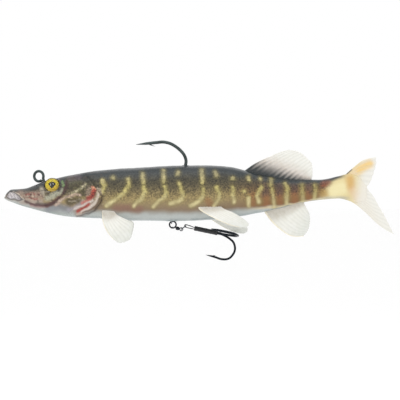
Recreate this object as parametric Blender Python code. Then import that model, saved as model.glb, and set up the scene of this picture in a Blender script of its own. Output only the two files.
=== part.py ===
"""Pike-shaped soft swimbait on a leaded jig hook, with a treble on a swivel under its belly.

Metres, +Z up. The fish faces -X, its back is up, and the origin is the centre of the line-tie
ring on its head. The body is one soft moulding, which bends at upright lines behind the torso,
in front of the tail and at the root of the tail fin; it is cut there into segments whose round
front ends turn in the hollow rear end of the segment ahead. Values ending in _MM are millimetres.
"""

import math

import bpy
import numpy as np
from mathutils import Vector

MM = 0.001
GAP_MM = 0.3

# Soft body: place along the fish, top, bottom and half width.
BODY_STATIONS_MM = [
    (-17.6, -10.7, -11.5, 0.8),
    (-16.2, -8.4, -12.4, 3.0),
    (-14.2, -6.9, -13.2, 4.3),
    (-10.7, -6.6, -14.5, 5.2),
    (-6.6, -6.2, -15.8, 5.6),
    (-3.0, -4.9, -16.8, 6.0),
    (3.4, -2.5, -18.5, 7.0),
    (10.3, -0.8, -20.0, 7.9),
    (16.8, 0.6, -20.9, 8.7),
    (30.5, 2.9, -21.6, 9.5),
    (52.0, 4.5, -22.8, 10.1),
    (75.0, 5.55, -23.0, 10.2),
    (88.8, 5.6, -22.2, 9.9),
    (98.0, 4.8, -21.2, 9.3),
    (115.2, 0.6, -18.4, 7.4),
    (130.8, -1.75, -14.7, 5.3),
    (142.0, -1.8, -12.5, 4.2),
    (154.0, -0.1, -11.6, 3.6),
    (159.5, 1.2, -12.7, 3.3),
    (163.5, 0.2, -13.5, 2.6),
    (166.0, -3.5, -12.6, 1.2),
]
SECTION_POWER = 2.25
SECTION_SIDES = 24
STATION_STEP_MM = 4.0

# Upright bending lines of the soft body: place, and radius of the round end that turns there.
BODY_BEND_X_MM, BODY_BEND_R_MM = 101.3, 9.6
TAIL_WAG_X_MM, TAIL_WAG_R_MM = 143.4, 4.5
FIN_FLEX_X_MM, FIN_FLEX_R_MM = 156.5, 3.75

ZONE_HALF_WIDTH_MM, ZONE_DEPTH_MM = 14.0, 26.0

FIN_THICK_MM = 0.9
TAIL_FIN_THICK_MM = 1.4
DORSAL_FIN_MM = [
    (105.8, 4.0), (115.8, 8.9), (124.0, 12.5), (128.7, 13.6), (133.6, 12.7),
    (137.7, 9.6), (140.2, 6.8), (140.6, 0.0),
]
ANAL_FIN_MM = [
    (136.2, -14.2), (139.1, -19.5), (139.4, -23.4), (138.3, -27.9), (136.0, -30.9),
    (131.4, -31.0), (128.0, -30.5), (122.3, -26.1), (118.4, -22.0), (115.4, -18.9),
]
DORSAL_ROOT_MM = (105.8, 3.6)
ANAL_ROOT_MM = (115.6, -18.6)
TAIL_FIN_MM = [
    (157.8, 0.9), (161.4, 4.3), (165.5, 7.6), (169.1, 9.1), (173.2, 9.9), (173.2, 5.8),
    (170.7, -2.2), (168.8, -6.0), (172.0, -10.3), (174.6, -15.1), (177.1, -19.2),
    (179.3, -23.5), (182.4, -29.8), (178.2, -27.6), (174.2, -24.8), (169.1, -19.9),
    (165.4, -16.6), (161.7, -13.8), (158.0, -12.3),
]
# Paired fins: place along the fish, and distance out from the root line along the fin.
PECTORAL_FIN_MM = [
    (32.8, 0.0), (38.8, 0.0), (44.4, 3.0), (48.2, 5.0), (48.6, 7.6), (47.1, 13.6),
    (45.4, 15.4), (42.0, 16.3), (39.0, 14.6), (35.5, 10.3), (33.2, 4.8),
]
PELVIC_FIN_MM = [
    (81.2, 0.0), (95.0, 0.0), (99.5, 2.6), (104.5, 6.2), (107.2, 9.4), (106.4, 11.6),
    (103.0, 12.2), (98.0, 10.2), (92.0, 6.4), (86.0, 2.6),
]
PECTORAL_ROOT_MM = (35.5, -18.9)
PELVIC_ROOT_MM = (88.0, -16.6)
PECTORAL_SPLAY_DEG = {"left": 20.0, "right": 20.0}
PELVIC_SPLAY_DEG = {"left": 45.0, "right": 15.0}
PAIRED_ROOT_CLEAR_MM = 0.9

# Eyes: a printed disc and its clear dome, leaning up with the side of the head.
EYE_PLACE_MM = (7.1, 5.9, -4.4)
EYE_R_MM = 3.75
EYE_LEAN_DEG = 16.0
EYE_DISC_MM = 0.8
EYE_DOME_MM = 1.2
EYE_SOCKET_MM = 1.5
SOCKET_REACH_MM = 6.0
DOME_WALL_MM = 0.4
DOME_RINGS = 5

# Jig hook, in the fish's middle plane.
HOOK_WIRE_R_MM = 0.75
RING_WIRE_R_MM = 0.6
RING_HALF_MM = (2.35, 2.6)
RING_START_DEG, RING_END_DEG = 302.0, -20.0
RING_POINTS = 23
RING_RUN_MM, NECK_RUN_MM = 14.0, 22.0
HOOK_SHANK_MM = [
    (2.55, -2.6), (3.0, -4.4), (6.0, -6.4), (14.0, -6.8), (38.0, -5.4), (60.0, -4.8),
    (67.5, -3.2), (73.0, 0.9), (75.5, 6.4), (75.0, 10.2), (72.5, 13.5), (68.4, 16.4),
    (64.3, 17.55), (60.2, 17.3), (56.1, 16.9), (49.9, 16.3),
]
HOOK_POINT_MM = 9.0
POINT_SHARE = 0.12
BARB_MM = [(57.0, 16.75), (59.9, 15.3)]
BARB_R_MM, BARB_TIP_MM = 0.5, 0.12

# Lead on the hook's shank, and the wire hanger that comes out of the belly.
LEAD_PROFILE_MM = [
    (11.0, 0.0), (11.8, 1.9), (14.0, 3.3), (18.0, 4.3), (24.0, 4.5), (30.0, 3.4), (34.0, 1.6),
    (34.6, 0.0),
]
LEAD_HEIGHT_MM = -8.6
HANGER_WIRE_R_MM = 0.35
HANGER_EYE_MM = (68.2, -23.0)
HANGER_EYE_R_MM = 1.15
HANGER_EYE_POINTS = 20
HANGER_MM = [(28.0, -9.6), (45.0, -10.6), (60.0, -12.4), (66.5, -15.6), (68.2, -19.5)]
HANGER_POCKET_MM = (2.1, 1.0)

# Treble hardware: link points down the chain, then the treble in its own shank frame.
LINK_A_MM = (68.2, -23.35)
LINK_B_MM = (69.45, -26.35)
LINK_C_MM = (73.15, -27.2)
LINK_D_MM = (75.55, -25.5)
FRONT_RING_R_MM = 1.7
REAR_RING_R_MM = 1.5
RING_WIRE_MM = 0.22
RING_EXTRA_WIDTH = 0.4
SWIVEL_EYE_R_MM = 0.8
SWIVEL_WIRE_MM = 0.17
BARREL_LENGTH_MM = 1.75
BARREL_R_MM = 0.95
BARREL_BORE_MM = 0.68
BARREL_MOUTH_MM = 0.36
BARREL_WALL_MM = 0.3
PIN_HEAD_R_MM = 0.5
PIN_HEAD_MM = 0.25
PIN_R_MM, PIN_CLEAR_MM = 0.22, 0.12
TREBLE_LINE_MM = [(75.55, -25.5), (79.7, -26.7), (92.3, -29.3)]
TREBLE_EYE_R_MM = 0.62
TREBLE_EYE_WIRE_MM = 0.22
TREBLE_SHANK_MM = (0.6, 12.2)
TREBLE_SHANK_R_MM = 0.55
TREBLE_FOOT_MM = (1.2, 0.1)
TREBLE_WIRE_R_MM = 0.5
TREBLE_SIDES_DEG = (0.0, 100.0, -100.0)
TREBLE_BEND_MM = [
    (11.5, 0.0), (14.5, 0.2), (17.1, 0.8), (19.4, 1.75), (21.3, 3.0), (22.6, 5.3), (22.8, 7.6),
    (22.0, 9.9), (20.8, 11.5), (19.0, 12.4), (16.5, 12.7), (13.2, 12.3), (8.7, 12.2),
]
TREBLE_POINT_MM = 5.0
SLEEVE_MM = (0.2, 12.4)
SLEEVE_BORE_MM, SLEEVE_R_MM = 0.8, 1.15


# ---------------------------------------------------------------- curves and sections

def smooth_values(places, values, at):
    """Monotone cubic interpolation: Hermite pieces whose slopes are harmonic means."""
    x, y = np.asarray(places, float), np.asarray(values, float)
    step, rise = np.diff(x), np.diff(y) / np.diff(x)
    slope = np.zeros_like(y)
    same = rise[:-1] * rise[1:] > 0
    slope[1:-1][same] = 2 * rise[:-1][same] * rise[1:][same] / (rise[:-1] + rise[1:])[same]
    slope[0], slope[-1] = rise[0], rise[-1]
    at = np.clip(at, x[0], x[-1])
    i = np.clip(np.searchsorted(x, at, side="right") - 1, 0, len(x) - 2)
    t = (at - x[i]) / step[i]
    start = (1 + 2 * t) * (1 - t) ** 2 * y[i] + t * (1 - t) ** 2 * step[i] * slope[i]
    end = t * t * (3 - 2 * t) * y[i + 1] + t * t * (t - 1) * step[i] * slope[i + 1]
    return start + end


def body_section(x):
    """Middle height, half height and half width of the body at x, in millimetres."""
    places, tops, bottoms, widths = np.array(BODY_STATIONS_MM).T
    top = smooth_values(places, tops, x)
    bottom = smooth_values(places, bottoms, x)
    return (top + bottom) / 2, (top - bottom) / 2, smooth_values(places, widths, x)


def body_side(x, z):
    """Half width of the body's skin at place x and height z, in millimetres."""
    middle, half_height, half_width = body_section(x)
    level = np.clip(abs((z - middle) / half_height), 0, 1)
    return half_width * (1 - level ** SECTION_POWER) ** (1 / SECTION_POWER)


def smooth_path(points, per_span=4):
    """Catmull-Rom curve through the points, as an array with per_span steps in each span."""
    p = np.asarray(points, float)
    p = np.vstack([2 * p[0] - p[1], p, 2 * p[-1] - p[-2]])
    t = np.linspace(0, 1, per_span, endpoint=False)[:, None]
    spans = []
    for a, b, c, d in zip(p, p[1:], p[2:], p[3:]):
        spans.append(0.5 * (2 * b + (c - a) * t + (2 * a - 5 * b + 4 * c - d) * t ** 2
                            + (3 * b - a - 3 * c + d) * t ** 3))
    return np.vstack(spans + [p[-2:-1]])


def in_plane(points):
    """Points (x, z) of the fish's middle plane as (x, 0, z)."""
    p = np.asarray(points, float)
    return np.column_stack([p[:, 0], np.zeros(len(p)), p[:, 1]])


def unit(v):
    v = np.asarray(v, float)
    return v / np.linalg.norm(v)


# ---------------------------------------------------------------- objects

def make_material(name, colour, roughness, metallic=0.0, alpha=1.0):
    material = bpy.data.materials.new(name)
    material.use_nodes = True
    shader = material.node_tree.nodes["Principled BSDF"]
    shader.inputs["Base Color"].default_value = (*colour, 1.0)
    shader.inputs["Roughness"].default_value = roughness
    shader.inputs["Metallic"].default_value = metallic
    shader.inputs["Alpha"].default_value = alpha
    return material


def make_object(name, vertices_mm, faces, material=None, origin_mm=(0.0, 0.0, 0.0)):
    """A mesh object from millimetre points, with its own origin at origin_mm."""
    mesh = bpy.data.meshes.new(name)
    points = (np.asarray(vertices_mm, float) - np.asarray(origin_mm)) * MM
    mesh.from_pydata(points.tolist(), [], faces)
    mesh.validate()
    mesh.shade_smooth()
    mesh.set_sharp_from_angle(angle=math.radians(40))
    obj = bpy.data.objects.new(name, mesh)
    obj.location = Vector(origin_mm) * MM
    bpy.context.collection.objects.link(obj)
    if material:
        mesh.materials.append(material)
    return obj


def make_cutter(name, vertices_mm, faces):
    obj = make_object(name, vertices_mm, faces)
    obj.hide_render = True
    obj.display_type = "WIRE"
    return obj


def combine(obj, other, operation):
    modifier = obj.modifiers.new(other.name, "BOOLEAN")
    modifier.operation = operation
    modifier.object = other
    modifier.solver = "EXACT"
    return obj


def ring_faces(rings, sides, closed=False):
    """Faces between consecutive rings of points, with both ends capped unless closed."""
    faces = []
    for i in range(rings if closed else rings - 1):
        a, b = i * sides, (i + 1) % rings * sides
        for j in range(sides):
            k = (j + 1) % sides
            faces.append((a + j, a + k, b + k, b + j))
    if not closed:
        faces.append(tuple(reversed(range(sides))))
        faces.append(tuple(range((rings - 1) * sides, rings * sides)))
    return faces


def tube(path, radii, sides=8, closed=False):
    """Points and faces of a round wire along a path; its frame is carried without twist."""
    path = np.asarray(path, float)
    count = len(path)
    if closed:
        tangents = np.roll(path, -1, axis=0) - np.roll(path, 1, axis=0)
    else:
        tangents = np.gradient(path, axis=0)
    tangents /= np.linalg.norm(tangents, axis=1)[:, None]
    radii = np.broadcast_to(radii, count)
    start = np.cross(tangents[0], (0.0, 1.0, 0.0))
    if np.linalg.norm(start) < 0.1:
        start = np.cross(tangents[0], (0.0, 0.0, 1.0))
    side = unit(start)
    turn = np.arange(sides) * 2 * math.pi / sides
    points = []
    for centre, tangent, radius in zip(path, tangents, radii):
        side = unit(side - tangent * side.dot(tangent))
        other = np.cross(tangent, side)
        ring = np.outer(np.cos(turn), side) + np.outer(np.sin(turn), other)
        points.append(centre + radius * ring)
    return np.vstack(points), ring_faces(count, sides, closed)


def turned(profile, start, direction, sides=16):
    """A solid turned about a line: profile rows are (distance along it, radius)."""
    start, along = np.asarray(start, float), unit(direction)
    side = unit(np.cross(along, (0.0, 1.0, 0.0) if abs(along[1]) < 0.9 else (1.0, 0.0, 0.0)))
    other = np.cross(along, side)
    turn = np.arange(sides) * 2 * math.pi / sides
    rings = [
        start + along * place + max(radius, 0.01) * (
            np.outer(np.cos(turn), side) + np.outer(np.sin(turn), other))
        for place, radius in profile
    ]
    return np.vstack(rings), ring_faces(len(profile), sides)


def circle(centre, normal, radius, count):
    normal = unit(normal)
    side = unit(np.cross(normal, (0.0, 1.0, 0.0) if abs(normal[1]) < 0.9 else (1.0, 0.0, 0.0)))
    turn = np.arange(count)[:, None] * 2 * math.pi / count
    return np.asarray(centre, float) + radius * (
        np.cos(turn) * side + np.sin(turn) * np.cross(normal, side))


# ---------------------------------------------------------------- the soft body

def body_loft(first_x, last_x):
    """The whole fish between two places: superellipse sections on the station curves."""
    count = max(3, int(round((last_x - first_x) / STATION_STEP_MM)) + 1)
    share = np.linspace(0, 1, count)
    x = first_x + (last_x - first_x) * share
    if first_x == BODY_STATIONS_MM[0][0]:
        x = first_x + (last_x - first_x) * share ** 1.5
    middle, half_height, half_width = body_section(x)
    turn = np.arange(SECTION_SIDES) * 2 * math.pi / SECTION_SIDES
    power = 2 / SECTION_POWER
    across = np.sign(np.cos(turn)) * abs(np.cos(turn)) ** power
    up = np.sign(np.sin(turn)) * abs(np.sin(turn)) ** power
    y = np.outer(half_width, across)
    z = middle[:, None] + np.outer(half_height, up)
    points = np.stack([np.broadcast_to(x[:, None], y.shape), y, z], axis=2).reshape(-1, 3)
    return points, ring_faces(count, SECTION_SIDES)


def plan_zone(name, front, rear):
    """Upright prism that keeps one segment: round at its front end, hollow at its rear end."""
    wide, high = ZONE_HALF_WIDTH_MM, ZONE_DEPTH_MM
    arc = np.radians(np.linspace(90, 270, 17))
    if front is None:
        outline = [(-30.0, wide), (-30.0, -wide)]
    else:
        x, radius = front
        outline = [(x + radius * math.cos(a), radius * math.sin(a)) for a in arc]
        outline = [(x, wide)] + outline + [(x, -wide)]
    if rear is None:
        outline += [(190.0, -wide), (190.0, wide)]
    else:
        x, radius = rear[0], rear[1] + GAP_MM
        hollow = [(x + radius * math.cos(a), radius * math.sin(a)) for a in arc[::-1]]
        outline += [(x, -wide)] + hollow + [(x, wide)]
    count = len(outline)
    points = [(x, y, z) for z in (-high, high / 2) for x, y in outline]
    faces = [tuple(reversed(range(count))), tuple(range(count, 2 * count))]
    for i in range(count):
        j = (i + 1) % count
        faces.append((i, j, count + j, count + i))
    return make_cutter(name, points, faces)


def body_segment(name, material, span, front, rear, origin_x):
    points, faces = body_loft(*span)
    obj = make_object(name, points, faces, material, (origin_x, 0.0, 0.0))
    return combine(obj, plan_zone(name + "_zone", front, rear), "INTERSECT")


def flat_solid(centre, normal, half_thick):
    """A flat plate: its outline's points shifted both ways along the normal, and faces out."""
    count = len(centre)
    points = np.vstack([centre - normal * half_thick, centre + normal * half_thick])
    after = np.roll(centre, -1, axis=0)
    turning = np.cross(centre, after).sum(axis=0) @ normal
    lower, upper = tuple(reversed(range(count))), tuple(range(count, 2 * count))
    walls = [(i, j, count + j, count + i) for i, j in zip(range(count), [*range(1, count), 0])]
    faces = [lower, upper, *walls]
    if turning < 0:
        faces = [tuple(reversed(face)) for face in faces]
    return points, faces


def middle_plate(outline, half_thick):
    return flat_solid(in_plane(outline), np.array([0.0, 1.0, 0.0]), half_thick)


def paired_plate(outline, half_thick, side, splay_deg, root):
    """A paired fin as a plate that leans out from its root line.

    With splay s, a point v out along the fin lies v cos s below the root line and v sin s
    further out; side is -1 on the fish's left and +1 on its right.
    """
    lean = math.radians(splay_deg)
    x, out = np.array(outline).T
    y = side * (abs(root[1]) + out * math.sin(lean))
    centre = np.column_stack([x, y, root[2] - out * math.cos(lean)])
    normal = np.array([0.0, math.cos(lean), side * math.sin(lean)])
    return flat_solid(centre, normal, half_thick)


def skin_line(first_x, last_x, top):
    """Points just clear of the back or belly line, for the foot of a middle fin."""
    x = np.linspace(first_x, last_x, 8)
    middle, half_height, _ = body_section(x)
    z = middle + half_height + GAP_MM if top else middle - half_height - GAP_MM
    return list(zip(x, z))


def make_body(materials):
    bend = (BODY_BEND_X_MM, BODY_BEND_R_MM)
    wag = (TAIL_WAG_X_MM, TAIL_WAG_R_MM)
    flex = (FIN_FLEX_X_MM, FIN_FLEX_R_MM)
    first, last = BODY_STATIONS_MM[0][0], BODY_STATIONS_MM[-1][0]
    front = body_segment("body_front", materials["skin"], (first, bend[0]), None, bend, 0.0)
    body_segment("body_rear", materials["skin"], (bend[0] - 14.0, wag[0]), bend, wag, bend[0])
    body_segment("tail_stem", materials["skin"], (wag[0] - 8.0, flex[0]), wag, flex, wag[0])
    tail = body_segment("tail_fin", materials["fin"], (flex[0] - 6.0, last), flex, None, flex[0])
    points, faces = middle_plate(TAIL_FIN_MM, TAIL_FIN_THICK_MM / 2)
    combine(tail, make_cutter("tail_fin_lobes", points, faces), "UNION")
    return front


def make_fins(materials):
    half = FIN_THICK_MM / 2
    dorsal = DORSAL_FIN_MM + skin_line(DORSAL_FIN_MM[-1][0], DORSAL_FIN_MM[0][0] + 0.6, True)
    make_object("dorsal_fin", *middle_plate(dorsal, half), materials["fin"],
                in_plane([DORSAL_ROOT_MM])[0])
    anal = ANAL_FIN_MM + skin_line(ANAL_FIN_MM[-1][0] + 0.2, ANAL_FIN_MM[0][0] - 0.2, False)
    make_object("anal_fin", *middle_plate(anal, half), materials["fin"],
                in_plane([ANAL_ROOT_MM])[0])
    pairs = (
        ("pectoral_fin", PECTORAL_FIN_MM, PECTORAL_ROOT_MM, PECTORAL_SPLAY_DEG),
        ("pelvic_fin", PELVIC_FIN_MM, PELVIC_ROOT_MM, PELVIC_SPLAY_DEG),
    )
    for name, outline, (root_x, root_z), splay in pairs:
        out = float(body_side(root_x, root_z)) + PAIRED_ROOT_CLEAR_MM
        for word, side in (("left", -1), ("right", 1)):
            root = (root_x, side * out, root_z)
            solid = paired_plate(outline, half, side, splay[word], root)
            make_object(f"{name}_{word}", *solid, materials["fin"], root)


# ---------------------------------------------------------------- eyes

def make_eyes(front, materials):
    lean = math.radians(EYE_LEAN_DEG)
    x, y, z = EYE_PLACE_MM
    for word, side in (("left", -1), ("right", 1)):
        out = np.array([0.0, side * math.cos(lean), math.sin(lean)])
        seat = np.array([x, side * y, z]) - out * EYE_SOCKET_MM
        wide = EYE_R_MM + GAP_MM
        socket = turned([(-GAP_MM, wide), (SOCKET_REACH_MM, wide)], seat, out, 24)
        combine(front, make_cutter(f"eye_socket_{word}", *socket), "DIFFERENCE")
        disc = turned([(0.0, EYE_R_MM), (EYE_DISC_MM, EYE_R_MM)], seat, out, 24)
        make_object(f"eye_disc_{word}", *disc, materials["iris"], tuple(seat))
        base = EYE_DISC_MM + GAP_MM
        dome = [(base, EYE_R_MM)]
        for step in range(1, DOME_RINGS + 1):
            rise = step / DOME_RINGS * math.pi / 2
            height = base + DOME_WALL_MM + EYE_DOME_MM * math.sin(rise)
            dome.append((height, EYE_R_MM * math.cos(rise)))
        make_object(f"eye_dome_{word}", *turned(dome, seat, out, 24), materials["clear"],
                    tuple(seat))


# ---------------------------------------------------------------- hook, lead and hanger

def hook_path():
    """The jig hook's centre line: round the line-tie ring, down the neck, shank and bend."""
    turn = np.radians(np.linspace(RING_START_DEG, RING_END_DEG, RING_POINTS))
    ring = np.column_stack([RING_HALF_MM[0] * np.cos(turn), RING_HALF_MM[1] * np.sin(turn)])
    return in_plane(np.vstack([ring, smooth_path(HOOK_SHANK_MM)]))


def wire_radii(path, thick, thin_start, point_length):
    """Wire radius along a path: thin_start in the ring, then thick, then ground to a point."""
    lengths = np.linalg.norm(np.diff(path, axis=0), axis=1)
    run = np.concatenate([[0], np.cumsum(lengths)])
    radii = np.interp(run, [0, RING_RUN_MM, NECK_RUN_MM], [thin_start, thin_start, thick])
    left = run[-1] - run
    return radii * np.interp(left, [0, point_length], [POINT_SHARE, 1.0])


def make_hook(front, materials):
    path = hook_path()
    radii = wire_radii(path, HOOK_WIRE_R_MM, RING_WIRE_R_MM, HOOK_POINT_MM)
    hook = make_object("jig_hook", *tube(path, radii), materials["black_nickel"])
    barb = tube(in_plane(smooth_path(BARB_MM)), np.linspace(BARB_R_MM, BARB_TIP_MM, 5), 6)
    combine(hook, make_cutter("jig_hook_barb", *barb), "UNION")

    inside = path[RING_POINTS:]
    channel = make_cutter("hook_channel", *tube(inside, HOOK_WIRE_R_MM + GAP_MM))
    combine(front, channel, "DIFFERENCE")

    profile = np.array(LEAD_PROFILE_MM)
    place = (profile[:, 0] - profile[0, 0]).tolist()
    start = (profile[0, 0], 0.0, LEAD_HEIGHT_MM)
    lead = make_object("lead_weight", *turned(list(zip(place, profile[:, 1])), start, (1, 0, 0)),
                       materials["lead"])
    grown = [(-GAP_MM, 0.0)] + [(a, b + GAP_MM * 1.5) for a, b in zip(place[1:-1], profile[1:-1, 1])]
    grown.append((place[-1] + GAP_MM, 0.0))
    combine(front, make_cutter("lead_pocket", *turned(grown, start, (1, 0, 0))), "DIFFERENCE")
    combine(lead, channel, "DIFFERENCE")

    eye_x, eye_z = HANGER_EYE_MM
    turn = np.radians(np.linspace(90, 435, HANGER_EYE_POINTS))
    eye = np.column_stack([np.full(HANGER_EYE_POINTS, eye_x), HANGER_EYE_R_MM * np.cos(turn),
                           eye_z + HANGER_EYE_R_MM * np.sin(turn)])
    stem = in_plane(smooth_path(HANGER_MM + [(eye_x, eye_z + HANGER_EYE_R_MM + 0.6)]))
    hanger = np.vstack([stem, eye])
    make_object("belly_hanger", *tube(hanger, HANGER_WIRE_R_MM), materials["wire"])
    slot = make_cutter("hanger_channel", *tube(stem, HANGER_WIRE_R_MM + GAP_MM))
    combine(front, slot, "DIFFERENCE")
    combine(lead, slot, "DIFFERENCE")
    wide, half = HANGER_POCKET_MM
    pocket = turned([(-half, wide), (half, wide)], (eye_x, 0.0, eye_z), (1, 0, 0), 16)
    combine(front, make_cutter("hanger_pocket", *pocket), "DIFFERENCE")


# ---------------------------------------------------------------- treble hardware

def split_ring(name, ends, normal, radius, material):
    """A split ring through two link points, drawn as one closed flat wire two turns thick."""
    first, second = in_plane([ends[0]])[0], in_plane([ends[1]])[0]
    middle = (first + second) / 2
    centre_line = circle(middle, normal, radius, 20)
    points, faces = tube(centre_line, RING_WIRE_MM, 8, closed=True)
    flat = unit(normal)
    height = (points - middle) @ flat
    points = points + np.outer(height * RING_EXTRA_WIDTH, flat)
    return make_object(name, points, faces, material, tuple(first))


def make_swivel(materials):
    start, end = in_plane([LINK_B_MM])[0], in_plane([LINK_C_MM])[0]
    along = unit(end - start)
    middle = (start + end) / 2
    half = BARREL_LENGTH_MM / 2
    outer = [(-half, BARREL_MOUTH_MM), (-half, 0.7 * BARREL_R_MM), (-half / 2, BARREL_R_MM),
             (half / 2, BARREL_R_MM), (half, 0.7 * BARREL_R_MM), (half, BARREL_MOUTH_MM)]
    inner = [(half - BARREL_WALL_MM, BARREL_MOUTH_MM), (half - BARREL_WALL_MM, BARREL_BORE_MM),
             (BARREL_WALL_MM - half, BARREL_BORE_MM), (BARREL_WALL_MM - half, BARREL_MOUTH_MM)]
    sides = 16
    points, _ = turned(outer + inner, middle, along, sides)
    faces = ring_faces(len(outer + inner), sides, closed=True)
    make_object("swivel_barrel", points, faces, materials["black_nickel"], tuple(middle))
    for name, way, normal in (("swivel_front_eye", -1, np.cross(along, (0, 1, 0))),
                              ("swivel_rear_eye", 1, (0.0, 1.0, 0.0))):
        link = start if way < 0 else end
        loop = circle(link, normal, SWIVEL_EYE_R_MM, 16)
        eye = make_object(name, *tube(loop, SWIVEL_WIRE_MM, 6, closed=True), materials["wire"],
                          tuple(link))
        inside = half - BARREL_WALL_MM - PIN_CLEAR_MM
        reach = np.linalg.norm(link - middle) - SWIVEL_EYE_R_MM
        pin = [(inside - PIN_HEAD_MM, PIN_HEAD_R_MM), (inside, PIN_HEAD_R_MM),
               (inside, PIN_R_MM), (reach, PIN_R_MM)]
        combine(eye, make_cutter(name + "_pin", *turned(pin, middle, way * along, 10)), "UNION")


def treble_shank():
    """The treble's shank: where it starts and its direction."""
    start, end = in_plane(TREBLE_LINE_MM[1:])
    return start, unit(end - start)


def bend_path(turn_deg):
    """One of the treble's hooks: its bend curve turned about the shank."""
    start, along = treble_shank()
    turn = math.radians(turn_deg)
    down = unit(np.cross((0.0, 1.0, 0.0), along))
    away = down * math.cos(turn) + np.array([0.0, -1.0, 0.0]) * math.sin(turn)
    curve = smooth_path(TREBLE_BEND_MM, 3)
    return start + np.outer(curve[:, 0], along) + np.outer(curve[:, 1], away)


def make_treble(materials):
    link = in_plane([TREBLE_LINE_MM[0]])[0]
    start, along = treble_shank()
    reach = unit(start - link)
    down = unit(np.cross((0.0, 1.0, 0.0), reach))
    length = np.linalg.norm(start - link)
    turn = np.radians(np.linspace(90, 270, 9))
    tip = link + TREBLE_EYE_R_MM * (np.outer(np.cos(turn), reach) + np.outer(np.sin(turn), down))
    foot_along, foot_side = TREBLE_FOOT_MM
    halfway, leg = link + reach * length * 0.5, down * TREBLE_EYE_R_MM * 0.9
    upper = [start + along * foot_along + down * foot_side, halfway + leg]
    lower = [halfway - leg]
    loop = np.vstack([upper, tip, lower])
    eye = make_object("treble_hook", *tube(loop, TREBLE_EYE_WIRE_MM, 8, closed=True),
                      materials["black_nickel"], tuple(link))
    shank_ends = np.array([start + along * place for place in TREBLE_SHANK_MM])
    shank = tube(shank_ends, TREBLE_SHANK_R_MM, 10)
    combine(eye, make_cutter("treble_shank", *shank), "UNION")
    for number, turn_deg in enumerate(TREBLE_SIDES_DEG):
        path = bend_path(turn_deg)
        lengths = np.linalg.norm(np.diff(path, axis=0), axis=1)
        left = lengths.sum() - np.concatenate([[0], np.cumsum(lengths)])
        radii = TREBLE_WIRE_R_MM * np.interp(left, [0, TREBLE_POINT_MM], [0.2, 1.0])
        bend = make_cutter(f"treble_bend_{number}", *tube(path, radii))
        combine(eye, bend, "UNION")
    first, last = SLEEVE_MM
    sides = 16
    profile = [(first, SLEEVE_BORE_MM), (first, SLEEVE_R_MM), (last, SLEEVE_R_MM),
               (last, SLEEVE_BORE_MM)]
    points, _ = turned(profile, start, along, sides)
    make_object("shrink_sleeve", points, ring_faces(4, sides, closed=True), materials["sleeve"],
                tuple(start))


def make_materials():
    return {
        "skin": make_material("soft_plastic_body", (0.26, 0.20, 0.10), 0.35),
        "fin": make_material("soft_plastic_fin", (0.75, 0.74, 0.68), 0.35, alpha=0.85),
        "iris": make_material("printed_eye", (0.80, 0.62, 0.06), 0.3),
        "clear": make_material("clear_epoxy", (0.95, 0.95, 0.95), 0.05, alpha=0.3),
        "black_nickel": make_material("black_nickel", (0.05, 0.055, 0.065), 0.25, 1.0),
        "wire": make_material("steel_wire", (0.45, 0.45, 0.46), 0.3, 1.0),
        "lead": make_material("cast_lead", (0.30, 0.30, 0.32), 0.6, 1.0),
        "sleeve": make_material("shrink_tube", (0.02, 0.02, 0.03), 0.45),
    }


def main():
    for obj in list(bpy.data.objects):
        bpy.data.objects.remove(obj, do_unlink=True)
    materials = make_materials()
    front = make_body(materials)
    make_fins(materials)
    make_eyes(front, materials)
    make_hook(front, materials)
    across = (0.0, 1.0, 0.0)
    split_ring("split_ring_front", (LINK_A_MM, LINK_B_MM), across, FRONT_RING_R_MM,
               materials["black_nickel"])
    make_swivel(materials)
    rise = np.array([LINK_D_MM[0] - LINK_C_MM[0], 0.0, LINK_D_MM[1] - LINK_C_MM[1]])
    split_ring("split_ring_rear", (LINK_C_MM, LINK_D_MM), np.cross(unit(rise), across),
               REAR_RING_R_MM, materials["wire"])
    make_treble(materials)


main()
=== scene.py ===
"""Swimbait visuals: the looks of a pike-shaped soft swimbait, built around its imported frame.

The bait is one plastisol moulding with painted sides, thin rayed fins, domed eyes, a leaded jig
hook, and a treble on two split rings and a swivel. Every surface is worked out with numpy from
the same driving sizes as the frame, in millimetres, and put into a mesh in metres.
"""

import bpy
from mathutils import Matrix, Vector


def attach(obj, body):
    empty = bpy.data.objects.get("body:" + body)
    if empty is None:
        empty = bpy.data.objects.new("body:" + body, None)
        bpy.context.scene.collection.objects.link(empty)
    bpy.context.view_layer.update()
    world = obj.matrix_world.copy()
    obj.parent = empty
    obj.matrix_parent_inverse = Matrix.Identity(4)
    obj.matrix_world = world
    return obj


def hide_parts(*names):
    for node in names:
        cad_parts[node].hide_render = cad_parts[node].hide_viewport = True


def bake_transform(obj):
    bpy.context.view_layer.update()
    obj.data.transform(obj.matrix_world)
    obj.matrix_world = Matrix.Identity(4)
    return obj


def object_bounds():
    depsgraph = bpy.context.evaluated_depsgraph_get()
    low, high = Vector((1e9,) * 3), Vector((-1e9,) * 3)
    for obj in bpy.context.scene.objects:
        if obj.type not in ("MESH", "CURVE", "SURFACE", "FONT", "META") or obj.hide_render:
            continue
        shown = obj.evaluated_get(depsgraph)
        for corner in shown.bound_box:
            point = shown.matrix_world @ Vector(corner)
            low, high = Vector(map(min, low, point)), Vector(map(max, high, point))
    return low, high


bl_info = {
    "name": "Swimbait Visuals",
    "version": (1, 0, 0),
    "blender": (4, 5, 0),
    "location": "View3D > Sidebar > Swimbait",
    "description": "Builds the skin, fins, eyes and tackle of a soft swimbait round its frame",
    "category": "Object",
}

import math

import bpy
import numpy as np
from bpy.props import FloatProperty, FloatVectorProperty, IntProperty, PointerProperty

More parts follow.
